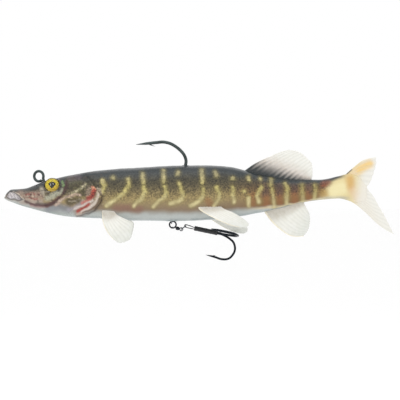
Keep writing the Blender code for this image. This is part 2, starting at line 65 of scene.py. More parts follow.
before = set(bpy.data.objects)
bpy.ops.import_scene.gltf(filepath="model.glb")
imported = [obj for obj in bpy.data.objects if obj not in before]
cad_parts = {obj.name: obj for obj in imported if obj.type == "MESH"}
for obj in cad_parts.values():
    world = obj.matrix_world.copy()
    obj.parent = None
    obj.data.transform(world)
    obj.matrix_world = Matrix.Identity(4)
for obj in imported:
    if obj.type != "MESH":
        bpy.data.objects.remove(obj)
CAD_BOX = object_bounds()

MM = 0.001
SIDES = (("left", -1), ("right", 1))
ACROSS = np.array([0.0, 1.0, 0.0])
SHARP_EDGE_DEG = 38.0
VIEW_CENTRE_MM = (82.8, -12.2)
FLOOR_HALF = 30.0
SENSOR_WIDTH_MM = 36.0

# Soft body: place along the fish, top, bottom and half width.
BODY_STATIONS_MM = np.array([
    (-17.6, -10.7, -11.5, 0.8), (-16.2, -8.4, -12.4, 3.0), (-14.2, -6.9, -13.2, 4.3),
    (-10.7, -6.6, -14.5, 5.2), (-6.6, -6.2, -15.8, 5.6), (-3.0, -4.9, -16.8, 6.0),
    (3.4, -2.5, -18.5, 7.0), (10.3, -0.8, -20.0, 7.9), (16.8, 0.6, -20.9, 8.7),
    (30.5, 2.9, -21.6, 9.5), (52.0, 4.5, -22.8, 10.1), (75.0, 5.55, -23.0, 10.2),
    (88.8, 5.6, -22.2, 9.9), (98.0, 4.8, -21.2, 9.3), (115.2, 0.6, -18.4, 7.4),
    (130.8, -1.75, -14.7, 5.3), (142.0, -1.8, -12.5, 4.2), (154.0, -0.1, -11.6, 3.6),
    (158.5, 1.0, -12.4, 3.1), (162.0, 0.6, -13.4, 2.2), (165.4, -1.6, -13.2, 1.2),
    (168.4, -5.0, -11.8, 0.4),
])
SECTION_POWER = 2.25
# Skin pieces meet where the body is rigid.
SKIN_SEAMS_MM = (118.0, 150.5)
HEAD_END_MM = 34.0

# Head features on one side, as (place, height).
MOUTH_MM = [(-16.3, -10.5), (-15.5, -8.9), (-14.3, -7.6), (-12.6, -8.3), (-10.3, -9.9),
            (-7.8, -11.9), (-10.8, -12.2), (-13.1, -11.6), (-14.9, -11.1)]
UPPER_LIP_MM = [(-12.9, -8.0), (-10.2, -9.5), (-7.4, -11.7)]
LOWER_LIP_MM = [(-17.6, -10.9), (-15.2, -11.5), (-13.0, -12.1), (-10.8, -12.7), (-7.2, -12.2)]
CHEEK_LINE_MM = [(14.3, -2.6), (14.0, -6.5), (12.2, -10.2), (9.4, -12.5), (5.7, -14.6),
                 (2.0, -15.2), (-1.6, -14.9), (-6.4, -12.9)]
GILL_EDGE_MM = [(24.1, 0.6), (27.8, -3.7), (31.0, -7.9), (33.0, -10.6), (31.9, -13.8),
                (28.7, -17.5), (24.1, -19.8), (19.5, -20.6)]
PLATE_LINE_MM = [(9.0, -13.8), (13.6, -10.9), (19.0, -9.6), (23.4, -11.0), (24.0, -14.0)]
NOSTRILS_MM = [(-0.6, -4.9), (0.6, -4.5)]

# Eyes: a printed disc and its clear dome, leaning up with the side of the head.
EYE_PLACE_MM = (7.1, 5.9, -4.4)
EYE_R_MM = 3.75
EYE_LEAN_DEG = 16.0
EYE_DISC_MM = 0.8
EYE_DOME_MM = 1.2
EYE_SOCKET_MM = 1.5

# Middle fins: leading edge, rear edge, root and margin as (place, height), root to tip.
DORSAL_FIN_MM = {
    "lead": [(105.0, 2.4), (110.6, 6.3), (115.8, 8.9), (124.0, 12.5), (128.7, 13.6)],
    "trail": [(139.4, -3.0), (140.0, -1.6), (140.5, -0.4), (140.6, 0.8)],
    "root": [(105.0, 2.4), (115.2, -0.3), (127.0, -2.2), (139.4, -3.0)],
    "edge": [(128.7, 13.6), (133.6, 12.7), (137.7, 9.6), (140.2, 6.8), (140.7, 3.6), (140.6, 0.8)],
}
ANAL_FIN_MM = {
    "lead": [(115.0, -17.0), (118.2, -21.8), (122.3, -26.1), (128.0, -30.2), (132.0, -31.1),
             (136.0, -30.9)],
    "trail": [(135.6, -12.4), (137.3, -16.0), (138.4, -17.9), (139.1, -19.5)],
    "root": [(115.0, -17.0), (122.0, -15.9), (130.0, -14.0), (135.6, -12.4)],
    "edge": [(136.0, -30.9), (138.3, -27.9), (139.4, -23.4), (139.1, -19.5)],
}
TAIL_FIN_MM = {
    "lead": [(156.0, -0.6), (158.6, 1.9), (161.4, 4.3), (165.5, 7.6), (169.1, 9.1), (173.2, 9.9)],
    "trail": [(156.0, -11.0), (161.7, -13.8), (165.4, -16.6), (169.1, -19.9), (174.2, -24.8),
              (178.2, -27.6), (182.4, -29.8)],
    "root": [(156.0, -0.6), (156.0, -4.0), (156.0, -7.6), (156.0, -11.0)],
    "edge": [(173.2, 9.9), (173.2, 5.8), (170.7, -2.2), (168.8, -6.0), (172.0, -10.3),
             (174.6, -15.1), (177.1, -19.2), (179.3, -23.5), (182.4, -29.8)],
}
# Paired fins: the same four sides as (place, distance out along the fin from its root line).
PECTORAL_FIN_MM = {
    "lead": [(32.6, -1.9), (32.8, 0.0), (33.2, 4.8), (35.5, 10.3), (39.0, 14.6)],
    "trail": [(38.8, -1.9), (40.4, 0.8), (44.4, 3.0), (48.2, 5.0), (48.6, 7.6)],
    "root": [(32.6, -1.9), (35.7, -1.9), (38.8, -1.9)],
    "edge": [(39.0, 14.6), (42.0, 16.3), (45.4, 15.4), (47.1, 13.6), (48.6, 7.6)],
}
PELVIC_FIN_MM = {
    "lead": [(81.0, -3.0), (82.2, 0.2), (85.2, 3.2), (91.0, 7.6), (97.4, 11.4), (103.0, 13.4)],
    "trail": [(92.0, -3.0), (95.0, 0.2), (99.6, 2.8), (104.6, 7.0), (107.6, 10.6)],
    "root": [(81.0, -3.0), (86.6, -3.4), (92.0, -3.0)],
    "edge": [(103.0, 13.4), (105.6, 13.6), (107.3, 12.6), (107.6, 10.6)],
}
PECTORAL_ROOT_MM = (35.5, -18.9)
PELVIC_ROOT_MM = (88.0, -16.6)
PECTORAL_SPLAY_DEG = {"left": 20.0, "right": 20.0}
PELVIC_SPLAY_DEG = {"left": 45.0, "right": 15.0}
PAIRED_ROOT_CLEAR_MM = 0.3
# Rays on each paired fin.
PAIRED_RAYS = 8

# Jig hook, in the fish's middle plane.
HOOK_WIRE_R_MM = 0.82
RING_WIRE_R_MM = 0.7
RING_HALF_MM = (2.35, 2.6)
RING_START_DEG, RING_END_DEG = 312.0, -20.0
HOOK_SHANK_MM = [
    (2.55, -2.6), (3.0, -4.4), (6.0, -6.4), (14.0, -6.8), (38.0, -5.4), (60.0, -4.8),
    (67.5, -3.2), (73.0, 0.9), (75.5, 6.4), (75.0, 10.2), (72.5, 13.5), (68.4, 16.4),
    (64.3, 17.55), (60.2, 17.3), (56.1, 16.9), (49.9, 16.3),
]
HOOK_POINT_MM = 9.0
BARB_MM = [(56.2, 16.75), (58.0, 15.9), (59.9, 15.3)]
BARB_R_MM, BARB_TIP_MM, BARB_FLAT = 0.42, 0.04, 0.6
HOOK_EXIT_MM = (75.3, 5.5)
NECK_EXIT_MM = (2.8, -2.7)
HANGER_EYE_MM = (68.2, -23.0)

# Treble hardware: link points down the chain, then the treble in its own shank frame.
LINK_A_MM, LINK_B_MM = (68.2, -23.35), (69.45, -26.35)
LINK_C_MM, LINK_D_MM = (73.15, -27.2), (75.55, -25.5)
FRONT_RING_R_MM, REAR_RING_R_MM = 1.7, 1.5
FRONT_RING_WIRE_MM, REAR_RING_WIRE_MM = 0.34, 0.24
RING_COIL_STEP_MM, RING_COIL_FADE = 0.27, 0.25
SWIVEL_EYE_R_MM, SWIVEL_WIRE_MM = 0.8, 0.26
BARREL_LENGTH_MM, BARREL_R_MM = 1.75, 0.95
BARREL_MOUTH_MM, BARREL_HOLLOW_MM, SHOULDER_MM = 0.36, 0.66, 0.42
TREBLE_LINE_MM = [(75.55, -25.5), (79.7, -26.7), (92.3, -29.3)]
TREBLE_EYE_R_MM, TREBLE_EYE_WIRE_MM = 0.66, 0.23
TREBLE_WIRE_R_MM = 0.57
TREBLE_SIDES_DEG = (0.0, 97.0, -97.0)
TREBLE_BEND_MM = [
    (11.5, 0.0), (14.5, 0.2), (17.1, 0.8), (19.4, 1.75), (21.3, 3.0), (22.6, 5.3), (22.8, 7.6),
    (22.0, 9.9), (20.8, 11.5), (19.0, 12.4), (16.5, 12.7), (13.2, 12.3), (8.7, 12.2),
]
TREBLE_POINT_MM = 5.0
TREBLE_BARB_MM = [(11.6, 12.25), (12.7, 11.75), (13.9, 11.35)]
TREBLE_BARB_R_MM, TREBLE_BARB_TIP_MM = 0.3, 0.03
TREBLE_SHANK_MM = [(0.6, 0.3), (0.7, 0.6), (14.0, 0.75), (15.2, 0.4)]
SLEEVE_MM = (0.2, 12.4)
SLEEVE_BORE_MM, SLEEVE_R_MM = 0.8, 1.26


# ---------------------------------------------------------------- settings

def linear(hex_colour):
    """Linear RGB of an sRGB hex colour."""
    part = np.array([int(hex_colour[i:i + 2], 16) for i in (1, 3, 5)]) / 255
    return np.where(part <= 0.04045, part / 12.92, ((part + 0.055) / 1.055) ** 2.4)


def colour(name, description, hex_colour):
    return FloatVectorProperty(name=name, description=description, subtype="COLOR", size=3,
                               min=0.0, max=1.0, default=tuple(linear(hex_colour)))


def length(name, description, metres):
    return FloatProperty(name=name, description=description, default=metres, min=0.0,
                         unit="LENGTH", precision=5)


class SkinSettings(bpy.types.PropertyGroup):
    head_step: length("Head rows", "Spacing of the skin's rows on the head", 0.00024)
    body_step: length("Body rows", "Spacing of the skin's rows behind the head", 0.0006)
    columns: IntProperty(name="Columns", description="Points round each row", default=208, min=48)
    scale_width: length("Scale width", "Width of one moulded scale", 0.0011)
    speckle_width: length("Speckle width", "Width of one fleck of the sprayed speckle", 0.0008)
    back: colour("Back", "Paint along the back", "#252D31")
    shoulder: colour("Shoulder", "Paint under the back", "#3F3C2F")
    flank: colour("Flank", "Paint on the torso's side", "#6B6044")
    low_flank: colour("Low flank", "Paint low on the torso's side", "#7D6954")
    rust: colour("Rust", "Paint on the rear body's side", "#6C4F31")
    plum: colour("Plum", "Dark patches between the rear bars", "#4C383B")
    belly: colour("Belly", "Bare plastic of the belly", "#ABB0AD")
    bar: colour("Bars", "Sprayed bars", "#CFC391")
    gill_red: colour("Gill red", "Paint in the gill slit", "#A03A2C")


class FinSettings(bpy.types.PropertyGroup):
    web: colour("Fin", "Translucent plastic of the fins", "#E9E8E1")
    ray_shade: colour("Ray shade", "Shade in the grooves between fin rays", "#C4C5BE")
    root_dark: colour("Dorsal root", "Paint at the root of the dorsal fin", "#2F3536")
    tail_gold: colour("Tail gold", "Tint on the tail's upper lobe", "#EDC777")
    half_thick: length("Half thickness", "Half the thickness of a fin's web", 0.0004)
    root_half: length("Root half thickness", "Half the thickness of a fin's foot", 0.0011)


class EyeSettings(bpy.types.PropertyGroup):
    iris: colour("Iris", "Printed iris", "#E0C81E")
    rim: colour("Iris rim", "Dark rim round the iris", "#6E5A18")
    pupil: colour("Pupil", "Printed pupil", "#0B0B0C")
    rings: IntProperty(name="Rings", description="Rings of points on the disc", default=48, min=8)


class TackleSettings(bpy.types.PropertyGroup):
    nickel: colour("Black nickel", "Plating of the hooks and rings", "#23272C")
    smoke: colour("Smoked nickel", "Plating of the jig hook", "#4A5251")
    steel: colour("Steel", "Bare wire and rear ring", "#6C6E72")
    sleeve: colour("Sleeve", "Heat-shrink tube", "#16171A")
    sides: IntProperty(name="Wire sides", description="Points round a wire", default=28, min=8)


class StageSettings(bpy.types.PropertyGroup):
    camera_distance: length("Camera distance", "From the camera to the fish's middle plane", 1.2)
    view_width: length("View width", "Width of the view at the middle plane", 0.2055)
    floor_drop: length("Floor drop", "From the lowest point down to the floor", 0.09)
    key_power: FloatProperty(name="Key power", description="Power of the top softbox",
                             default=0.9, min=0.0, unit="POWER")


class SwimbaitSettings(bpy.types.PropertyGroup):
    skin: PointerProperty(type=SkinSettings)
    fins: PointerProperty(type=FinSettings)
    eyes: PointerProperty(type=EyeSettings)
    tackle: PointerProperty(type=TackleSettings)
    stage: PointerProperty(type=StageSettings)


# ---------------------------------------------------------------- curves and masks

def unit(v):
    """A vector, or each vector of an array, divided by its length."""
    v = np.asarray(v, float)
    return v / np.maximum(np.linalg.norm(v, axis=-1, keepdims=True), 1e-12)


def smoothstep(low, high, value):
    """0 below low, 1 above high, and 3t^2 - 2t^3 between."""
    t = np.clip((np.asarray(value, float) - low) / (high - low), 0, 1)
    return t * t * (3 - 2 * t)


def smooth_values(places, values, at):
    """Monotone cubic interpolation: Hermite pieces whose slopes are harmonic means."""
    x, y = np.asarray(places, float), np.asarray(values, float)
    step, rise = np.diff(x), np.diff(y) / np.diff(x)
    slope = np.zeros_like(y)
    same = rise[:-1] * rise[1:] > 0
    slope[1:-1][same] = 2 * rise[:-1][same] * rise[1:][same] / (rise[:-1] + rise[1:])[same]
    slope[0], slope[-1] = rise[0], rise[-1]
    at = np.clip(at, x[0], x[-1])
    i = np.clip(np.searchsorted(x, at, side="right") - 1, 0, len(x) - 2)
    t = (at - x[i]) / step[i]
    start = (1 + 2 * t) * (1 - t) ** 2 * y[i] + t * (1 - t) ** 2 * step[i] * slope[i]
    end = t * t * (3 - 2 * t) * y[i + 1] + t * t * (t - 1) * step[i] * slope[i + 1]
    return start + end


def body_section(x):
    """Middle height, half height and half width of the body at x."""
    places, tops, bottoms, widths = BODY_STATIONS_MM.T
    top = smooth_values(places, tops, x)
    bottom = smooth_values(places, bottoms, x)
    return (top + bottom) / 2, (top - bottom) / 2, smooth_values(places, widths, x)


def body_side(x, z):
    """Half width of the body's skin at place x and height z."""
    middle, half_height, half_width = body_section(x)
    level = np.clip(abs((z - middle) / half_height), 0, 1)
    return half_width * (1 - level ** SECTION_POWER) ** (1 / SECTION_POWER)


def smooth_path(points, per_span=16):
    """Catmull-Rom curve through the points, with per_span steps in each span."""
    p = np.asarray(points, float)
    p = np.vstack([2 * p[0] - p[1], p, 2 * p[-1] - p[-2]])
    t = np.linspace(0, 1, per_span, endpoint=False)[:, None]
    spans = [0.5 * (2 * b + (c - a) * t + (2 * a - 5 * b + 4 * c - d) * t ** 2
                    + (3 * b - a - 3 * c + d) * t ** 3)
             for a, b, c, d in zip(p, p[1:], p[2:], p[3:])]
    return np.vstack(spans + [p[-2:-1]])


def run_of(path):
    """Distance along a path at each of its points."""
    steps = np.linalg.norm(np.diff(path, axis=0), axis=1)
    return np.concatenate([[0.0], np.cumsum(steps)])


def square_to(direction):
    """Two unit vectors square to a unit direction and to each other."""
    lean = ACROSS if abs(direction[1]) < 0.9 else (1.0, 0.0, 0.0)
    side = unit(np.cross(direction, lean))
    return side, np.cross(direction, side)


def even_path(points, count):
    """The smooth path through the points, at count places spaced evenly along it."""
    path = smooth_path(points)
    run = run_of(path)
    at = np.linspace(0, run[-1], count)
    return np.stack([np.interp(at, run, axis) for axis in path.T], axis=1)


def in_plane(points):
    """Points (x, z) of the fish's middle plane as (x, 0, z)."""
    p = np.asarray(points, float)
    return np.stack([p[..., 0], np.zeros(p.shape[:-1]), p[..., 1]], axis=-1)


def line_distance(x, z, points):
    """Distance from each (x, z) to a line of straight spans: the least over its spans."""
    p = np.asarray(points, float)
    start, span = p[:-1], np.diff(p, axis=0)
    from_x, from_z = x[..., None] - start[:, 0], z[..., None] - start[:, 1]
    share = (from_x * span[:, 0] + from_z * span[:, 1]) / np.maximum((span ** 2).sum(1), 1e-12)
    share = np.clip(share, 0, 1)
    gap = np.hypot(from_x - share * span[:, 0], from_z - share * span[:, 1])
    return gap.min(axis=-1)


def stroke(x, z, points, half_width, soft):
    """Cover of one brush stroke: 1 within half_width of its line, and 0 beyond soft more."""
    line = [points[0], points[0]] if len(points) == 1 else points
    return 1 - smoothstep(half_width, half_width + soft, line_distance(x, z, line))


def depth_inside(x, z, outline):
    """Distance to a closed outline, positive inside it, where a level ray crosses it oddly."""
    p = np.asarray(outline + outline[:1], float)
    (ax, az), (bx, bz) = p[:-1].T, p[1:].T
    level = z[..., None]
    spans = (az > level) != (bz > level)
    crossing = ax + (level - az) * (bx - ax) / np.where(bz == az, 1e-9, bz - az)
    odd = (spans & (x[..., None] < crossing)).sum(axis=-1) % 2 == 1
    return np.where(odd, 1, -1) * line_distance(x, z, p)


def cloud(points, cell, seed):
    """Smooth noise from -1 to 1: random lattice values blended by smoothstep in each cell."""
    values = np.random.default_rng(seed).uniform(-1, 1, (32, 32, 32))
    place = np.asarray(points, float) / cell + 1000.0
    low = np.floor(place).astype(int)
    t = smoothstep(0, 1, place - low)
    total = np.zeros(place.shape[:-1])
    for corner in np.ndindex(2, 2, 2):
        share = np.prod(np.where(corner, t, 1 - t), axis=-1)
        i, j, k = np.moveaxis((low + corner) % 32, -1, 0)
        total += share * values[i, j, k]
    return total


def tint(base, over, cover):
    """Paint over a base colour with the given cover; the paint may be a hex colour."""
    over = linear(over) if isinstance(over, str) else over
    return base + (np.asarray(over, float) - base) * np.clip(cover, 0, 1)[..., None]


def brush(paint, x, z, touches, unnamed=None):
    """Airbrushed touches over the paint; one without a colour of its own takes unnamed."""
    for shade, cover, half, soft, line in touches:
        paint = tint(paint, shade or unnamed, cover * stroke(x, z, line, half, soft))
    return paint


def wandering(points, axis, amount, cell, fine_cell, seed):
    """One coordinate of the points, moved about by coarse and fine noise, so that no sprayed
    edge is straight."""
    return (points[..., axis] + amount * cloud(points, cell, seed)
            + 0.1 * cloud(points, fine_cell, seed + 2))


def height_share(x, z):
    """Height on the body at place x, from 0 at the belly to 1 at the back."""
    middle, half_height, _ = body_section(x)
    return (z - middle + half_height) / (2 * half_height)


# ---------------------------------------------------------------- meshes

def band_faces(rows, columns, wrap=True, first=0):
    """Quads between rows of points, each row closed on itself where wrap is true."""
    across = columns if wrap else columns - 1
    i, j = np.mgrid[0:rows - 1, 0:across]
    k = (j + 1) % columns
    quads = np.stack([i * columns + j, i * columns + k, (i + 1) * columns + k,
                      (i + 1) * columns + j], axis=-1)
    return (quads.reshape(-1, 4) + first).tolist()


def tube_faces(rows, columns):
    """Faces of a tube of rings, with a flat cap on each end."""
    last = (rows - 1) * columns
    return band_faces(rows, columns) + [list(range(columns))[::-1],
                                        list(range(last, last + columns))]


def ring_loop_faces(rows, columns):
    """Faces of rings joined end to end into a loop."""
    faces = np.array(band_faces(rows + 1, columns))
    return (faces % (rows * columns)).tolist()


def wire(path, normal, radii, sides, closed=False, flat=1.0):
    """Round wire along a path in a plane: circles spanned by the plane's normal and the
    path's own side; flat scales the wire across the plane."""
    path, normal = np.asarray(path, float), unit(normal)
    if closed:
        tangent = np.roll(path, -1, axis=0) - np.roll(path, 1, axis=0)
    else:
        tangent = np.gradient(path, axis=0)
    side = unit(np.cross(normal, unit(tangent)))
    turn = np.arange(sides) * 2 * math.pi / sides
    radii = np.broadcast_to(radii, len(path))[:, None, None]
    ring = np.cos(turn)[:, None] * side[:, None] + flat * np.sin(turn)[:, None] * normal
    points = path[:, None] + radii * ring
    faces = ring_loop_faces(len(path), sides) if closed else tube_faces(len(path), sides)
    return points.reshape(-1, 3), faces


def turned(profile, start, direction, sides, closed=False, lobes=None):
    """Solid turned about a line: profile rows are (distance along it, radius). lobes, if
    given, scales the radius round the turn."""
    start, along = np.asarray(start, float), unit(direction)
    side, other = square_to(along)
    turn = np.arange(sides) * 2 * math.pi / sides
    circle = np.cos(turn)[:, None] * side + np.sin(turn)[:, None] * other
    if lobes is not None:
        circle = circle * lobes(turn)[:, None]
    place, radius = np.asarray(profile, float).T
    points = (start + place[:, None, None] * along
              + np.maximum(radius, 0.005)[:, None, None] * circle)
    rows = len(place)
    faces = ring_loop_faces(rows, sides) if closed else tube_faces(rows, sides)
    return points.reshape(-1, 3), faces


def circle(centre, normal, radius, count):
    """Points of a circle about a centre, square to its normal."""
    side, other = square_to(unit(normal))
    turn = np.arange(count)[:, None] * 2 * math.pi / count
    return np.asarray(centre, float) + radius * (np.cos(turn) * side + np.sin(turn) * other)


def join(*solids):
    """Several (points, faces) pairs as one."""
    points, faces, count = [], [], 0
    for some, their_faces in solids:
        points.append(some)
        faces += [[i + count for i in face] for face in their_faces]
        count += len(some)
    return np.vstack(points), faces


def add_piece(name, points_mm, faces, material, paint=None, cover=None, normals=None):
    """A smooth mesh object from millimetre points. paint is a colour and cover a number for
    each point, both kept as attributes that the material reads."""
    mesh = bpy.data.meshes.new(name)
    mesh.from_pydata((np.asarray(points_mm, float) * MM).tolist(), [], faces)
    if paint is not None:
        rgba = np.concatenate([np.clip(paint, 0, 1), np.ones((len(paint), 1))], axis=1)
        layer = mesh.attributes.new("paint", "FLOAT_COLOR", "POINT")
        layer.data.foreach_set("color", rgba.astype(np.float32).ravel())
    if cover is not None:
        layer = mesh.attributes.new("speckle", "FLOAT", "POINT")
        layer.data.foreach_set("value", np.asarray(cover, np.float32).ravel())
    mesh.materials.append(material)
    mesh.shade_smooth()
    if normals is None:
        mesh.set_sharp_from_angle(angle=math.radians(SHARP_EDGE_DEG))
    else:
        mesh.normals_split_custom_set_from_vertices(normals.tolist())
    obj = bpy.data.objects.new(name, mesh)
    bpy.context.scene.collection.objects.link(obj)
    return obj


# ---------------------------------------------------------------- materials

def add_node(tree, kind, sockets=None, **settings):
    """Adds a node: settings are its own values, and sockets gives each input by name or
    number a value or the output that feeds it."""
    node = tree.nodes.new(kind)
    for key, value in settings.items():
        setattr(node, key, value)
    for key, value in (sockets or {}).items():
        if isinstance(value, bpy.types.NodeSocket):
            tree.links.new(value, node.inputs[key])
        else:
            node.inputs[key].default_value = value
    return node


def start_material(name, **values):
    """A new material with its shader's own sockets set, and its object coordinates."""
    material = bpy.data.materials.new(name)
    material.use_nodes = True
    tree = material.node_tree
    shader = tree.nodes["Principled BSDF"]
    for key, value in values.items():
        shader.inputs[key.replace("_", " ").title().replace("Ior", "IOR")].default_value = value
    place = add_node(tree, "ShaderNodeTexCoord").outputs["Object"]
    return material, tree, shader, place


def noise(tree, place, width, detail=2.0, roughness=0.5):
    """Noise whose lumps are about width metres wide."""
    made = add_node(tree, "ShaderNodeTexNoise", {
        "Vector": place, "Scale": 1 / width, "Detail": detail, "Roughness": roughness})
    return made.outputs["Fac"]


def blend_colours(tree, mode, cover, under, over):
    """A colour mix: socket 0 is its cover, 6 the colour under and 7 the colour over."""
    made = add_node(tree, "ShaderNodeMix", {0: cover, 6: under, 7: over},
                    data_type="RGBA", blend_type=mode)
    return made.outputs[2]


def remap(tree, value, low, high, to_low, to_high):
    made = add_node(tree, "ShaderNodeMapRange", {
        "Value": value, "From Min": low, "From Max": high, "To Min": to_low, "To Max": to_high})
    return made.outputs["Result"]


def finish(tree, shader, marks, rough, strength=None, distance=None):
    """Marks in the surface: they change its roughness from the first value of rough to the
    second, and with a strength they are a bump too, distance metres high."""
    tree.links.new(remap(tree, marks, 0.3, 0.7, *rough), shader.inputs["Roughness"])
    if strength is not None:
        relief = add_node(tree, "ShaderNodeBump", {
            "Height": marks, "Strength": strength, "Distance": distance})
        tree.links.new(relief.outputs["Normal"], shader.inputs["Normal"])


def paint_layer(tree):
    """The colour that the mesh carries at each point."""
    return add_node(tree, "ShaderNodeAttribute", attribute_name="paint").outputs["Color"]


def painted_plastisol(settings):
    """Painted plastisol: soft PVC cast in a mould, sprayed and sealed. The eye sees a satin
    skin with a wet edge, sprayed colours broken by fine dark and gold flecks, and faint
    moulded scales."""
    material, tree, shader, place = start_material(
        "painted_plastisol", roughness=0.4, ior=1.45, coat_weight=0.12, coat_roughness=0.2)
    paint = paint_layer(tree)
    cover = add_node(tree, "ShaderNodeAttribute", attribute_name="speckle").outputs["Fac"]
    fine = noise(tree, place, settings.speckle_width, 3.0, 0.65)
    flecks = remap(tree, fine, 0.36, 0.64, 0.0, 1.0)
    grey = blend_colours(tree, "MIX", flecks, (0.10, 0.09, 0.08, 1), (0.93, 0.90, 0.80, 1))
    speckled = blend_colours(tree, "OVERLAY", cover, paint, grey)
    patches = remap(tree, noise(tree, place, settings.speckle_width * 5, 2.0), 0.3, 0.7, 0.35, 0.65)
    soft_patches = blend_colours(tree, "MIX", patches, (0.3, 0.3, 0.3, 1), (0.7, 0.7, 0.7, 1))
    half_cover = add_node(tree, "ShaderNodeMath", {0: cover, 1: 0.5}, operation="MULTIPLY")
    mottled = blend_colours(tree, "SOFT_LIGHT", half_cover.outputs[0], speckled, soft_patches)
    tree.links.new(mottled, shader.inputs["Base Color"])
    tree.links.new(remap(tree, fine, 0.3, 0.7, 0.44, 0.32), shader.inputs["Roughness"])
    scales = add_node(tree, "ShaderNodeTexVoronoi", {
        "Vector": place, "Scale": 1 / settings.scale_width, "Randomness": 0.35},
        feature="SMOOTH_F1")
    relief = add_node(tree, "ShaderNodeBump", {
        "Height": scales.outputs["Distance"], "Strength": 0.25, "Distance": 0.00012})
    relief_fine = add_node(tree, "ShaderNodeBump", {
        "Height": fine, "Strength": 0.15, "Distance": 0.00008,
        "Normal": relief.outputs["Normal"]})
    tree.links.new(relief_fine.outputs["Normal"], shader.inputs["Normal"])
    return material


def milky_plastisol():
    """Unpainted plastisol: soft PVC with a milky body. The eye sees light glow through its
    thin web and a damp shine along the rays."""
    material, tree, shader, place = start_material(
        "milky_plastisol", roughness=0.4, ior=1.45, subsurface_weight=0.25,
        subsurface_radius=(1.0, 1.0, 1.0), subsurface_scale=0.001, coat_weight=0.1,
        coat_roughness=0.2)
    paint = paint_layer(tree)
    haze = noise(tree, place, 0.0022, 3.0)
    grey = blend_colours(tree, "MIX", remap(tree, haze, 0.35, 0.65, 0, 1),
                         (0.42, 0.42, 0.41, 1), (0.56, 0.56, 0.56, 1))
    clouded = blend_colours(tree, "OVERLAY", 0.6, paint, grey)
    tree.links.new(clouded, shader.inputs["Base Color"])
    finish(tree, shader, noise(tree, place, 0.0005, 2.0), (0.42, 0.3), 0.12, 0.00006)
    return material


def printed_foil():
    """Printed foil sticker: the eye sees flat ink with a fine metallic sparkle."""
    material, tree, shader, place = start_material("printed_foil", roughness=0.4, metallic=0.05)
    paint = paint_layer(tree)
    sparkle = noise(tree, place, 0.00025, 2.0, 0.7)
    grey = blend_colours(tree, "MIX", remap(tree, sparkle, 0.35, 0.65, 0, 1),
                         (0.42, 0.42, 0.42, 1), (0.60, 0.60, 0.60, 1))
    tree.links.new(blend_colours(tree, "OVERLAY", 0.3, paint, grey), shader.inputs["Base Color"])
    finish(tree, shader, sparkle, (0.4, 0.22))
    return material


def clear_epoxy():
    """Poured epoxy: a clear dome that gives the eye one sharp highlight and a deep pupil."""
    material, tree, shader, place = start_material(
        "clear_epoxy", transmission_weight=1.0, ior=1.25)
    shader.inputs["Base Color"].default_value = (0.98, 0.98, 0.96, 1)
    finish(tree, shader, noise(tree, place, 0.0015, 2.0), (0.0, 0.02))
    return material


def plated_metal(name, metal, rough_low, rough_high, stain, scratch):
    """A plated or cast metal: two close tones in soft patches stain metres wide, and a
    roughness and grain from marks scratch metres wide."""
    material, tree, shader, place = start_material(name, metallic=1.0)
    tone = np.asarray(metal, float)
    patches = remap(tree, noise(tree, place, stain, 3.0), 0.35, 0.65, 0, 1)
    base = blend_colours(tree, "MIX", patches, (*(tone * 0.75), 1), (*(tone * 1.3), 1))
    tree.links.new(base, shader.inputs["Base Color"])
    marks = noise(tree, place, scratch, 3.0, 0.6)
    finish(tree, shader, marks, (rough_low, rough_high), 0.1, 0.00003)
    return material


def black_nickel(settings):
    """Black nickel plate on polished wire: near-black, glossy, with pale edge highlights."""
    return plated_metal("black_nickel", settings.nickel, 0.14, 0.26, 0.003, 0.0006)


def smoked_nickel(settings):
    """Smoked nickel on a forged hook: grey where it faces the light, dark on its sides."""
    return plated_metal("smoked_nickel", settings.smoke, 0.22, 0.36, 0.004, 0.0008)


def shrink_tube(settings):
    """Heat-shrunk polyolefin: satin black with faint ripples where it drew in."""
    material, tree, shader, place = start_material("shrink_tube", roughness=0.42, ior=1.5)
    ripple = noise(tree, place, 0.0012, 3.0)
    tone = np.asarray(settings.sleeve, float)
    base = blend_colours(tree, "MIX", ripple, (*(tone * 0.7), 1), (*(tone * 1.5), 1))
    tree.links.new(base, shader.inputs["Base Color"])
    finish(tree, shader, ripple, (0.5, 0.34), 0.3, 0.00015)
    return material


def studio_board():
    """Matt painted board: near white, with a grain too fine to draw the eye."""
    material, tree, shader, place = start_material("painted_board", roughness=0.9)
    grain = noise(tree, place, 0.004, 2.0)
    base = blend_colours(tree, "MIX", grain, (0.985, 0.985, 0.985, 1), (1.0, 1.0, 1.0, 1))
    tree.links.new(base, shader.inputs["Base Color"])
    return material


# ---------------------------------------------------------------- skin

def skin_rows(settings):
    """Places of the skin's rows: close on the head, wider behind, and one on each seam."""
    first, last = BODY_STATIONS_MM[0, 0], BODY_STATIONS_MM[-1, 0]
    marks = (first, HEAD_END_MM, *SKIN_SEAMS_MM, last)
    steps = (settings.head_step / MM,) + (settings.body_step / MM,) * 3
    rows = [np.linspace(a, b, max(2, round((b - a) / step)), endpoint=False)
            for a, b, step in zip(marks, marks[1:], steps)]
    return np.concatenate(rows + [[last]])


def skin_base(x, columns):
    """Superellipse sections: half width and half height times signed powers of the cosine
    and sine round the section."""
    middle, half_height, half_width = body_section(x)
    turn = np.arange(columns) * 2 * math.pi / columns
    power = 2 / SECTION_POWER
    across = np.sign(np.cos(turn)) * abs(np.cos(turn)) ** power
    up = np.sign(np.sin(turn)) * abs(np.sin(turn)) ** power
    y = np.outer(half_width, across)
    z = middle[:, None] + np.outer(half_height, up)
    return np.stack([np.broadcast_to(x[:, None], y.shape), y, z], axis=-1)


def grid_normals(points):
    """Outward normals of a grid closed round its rows: turn direction cross row direction."""
    along = np.gradient(points, axis=0)
    around = np.roll(points, -1, axis=1) - np.roll(points, 1, axis=1)
    return unit(np.cross(around, along))


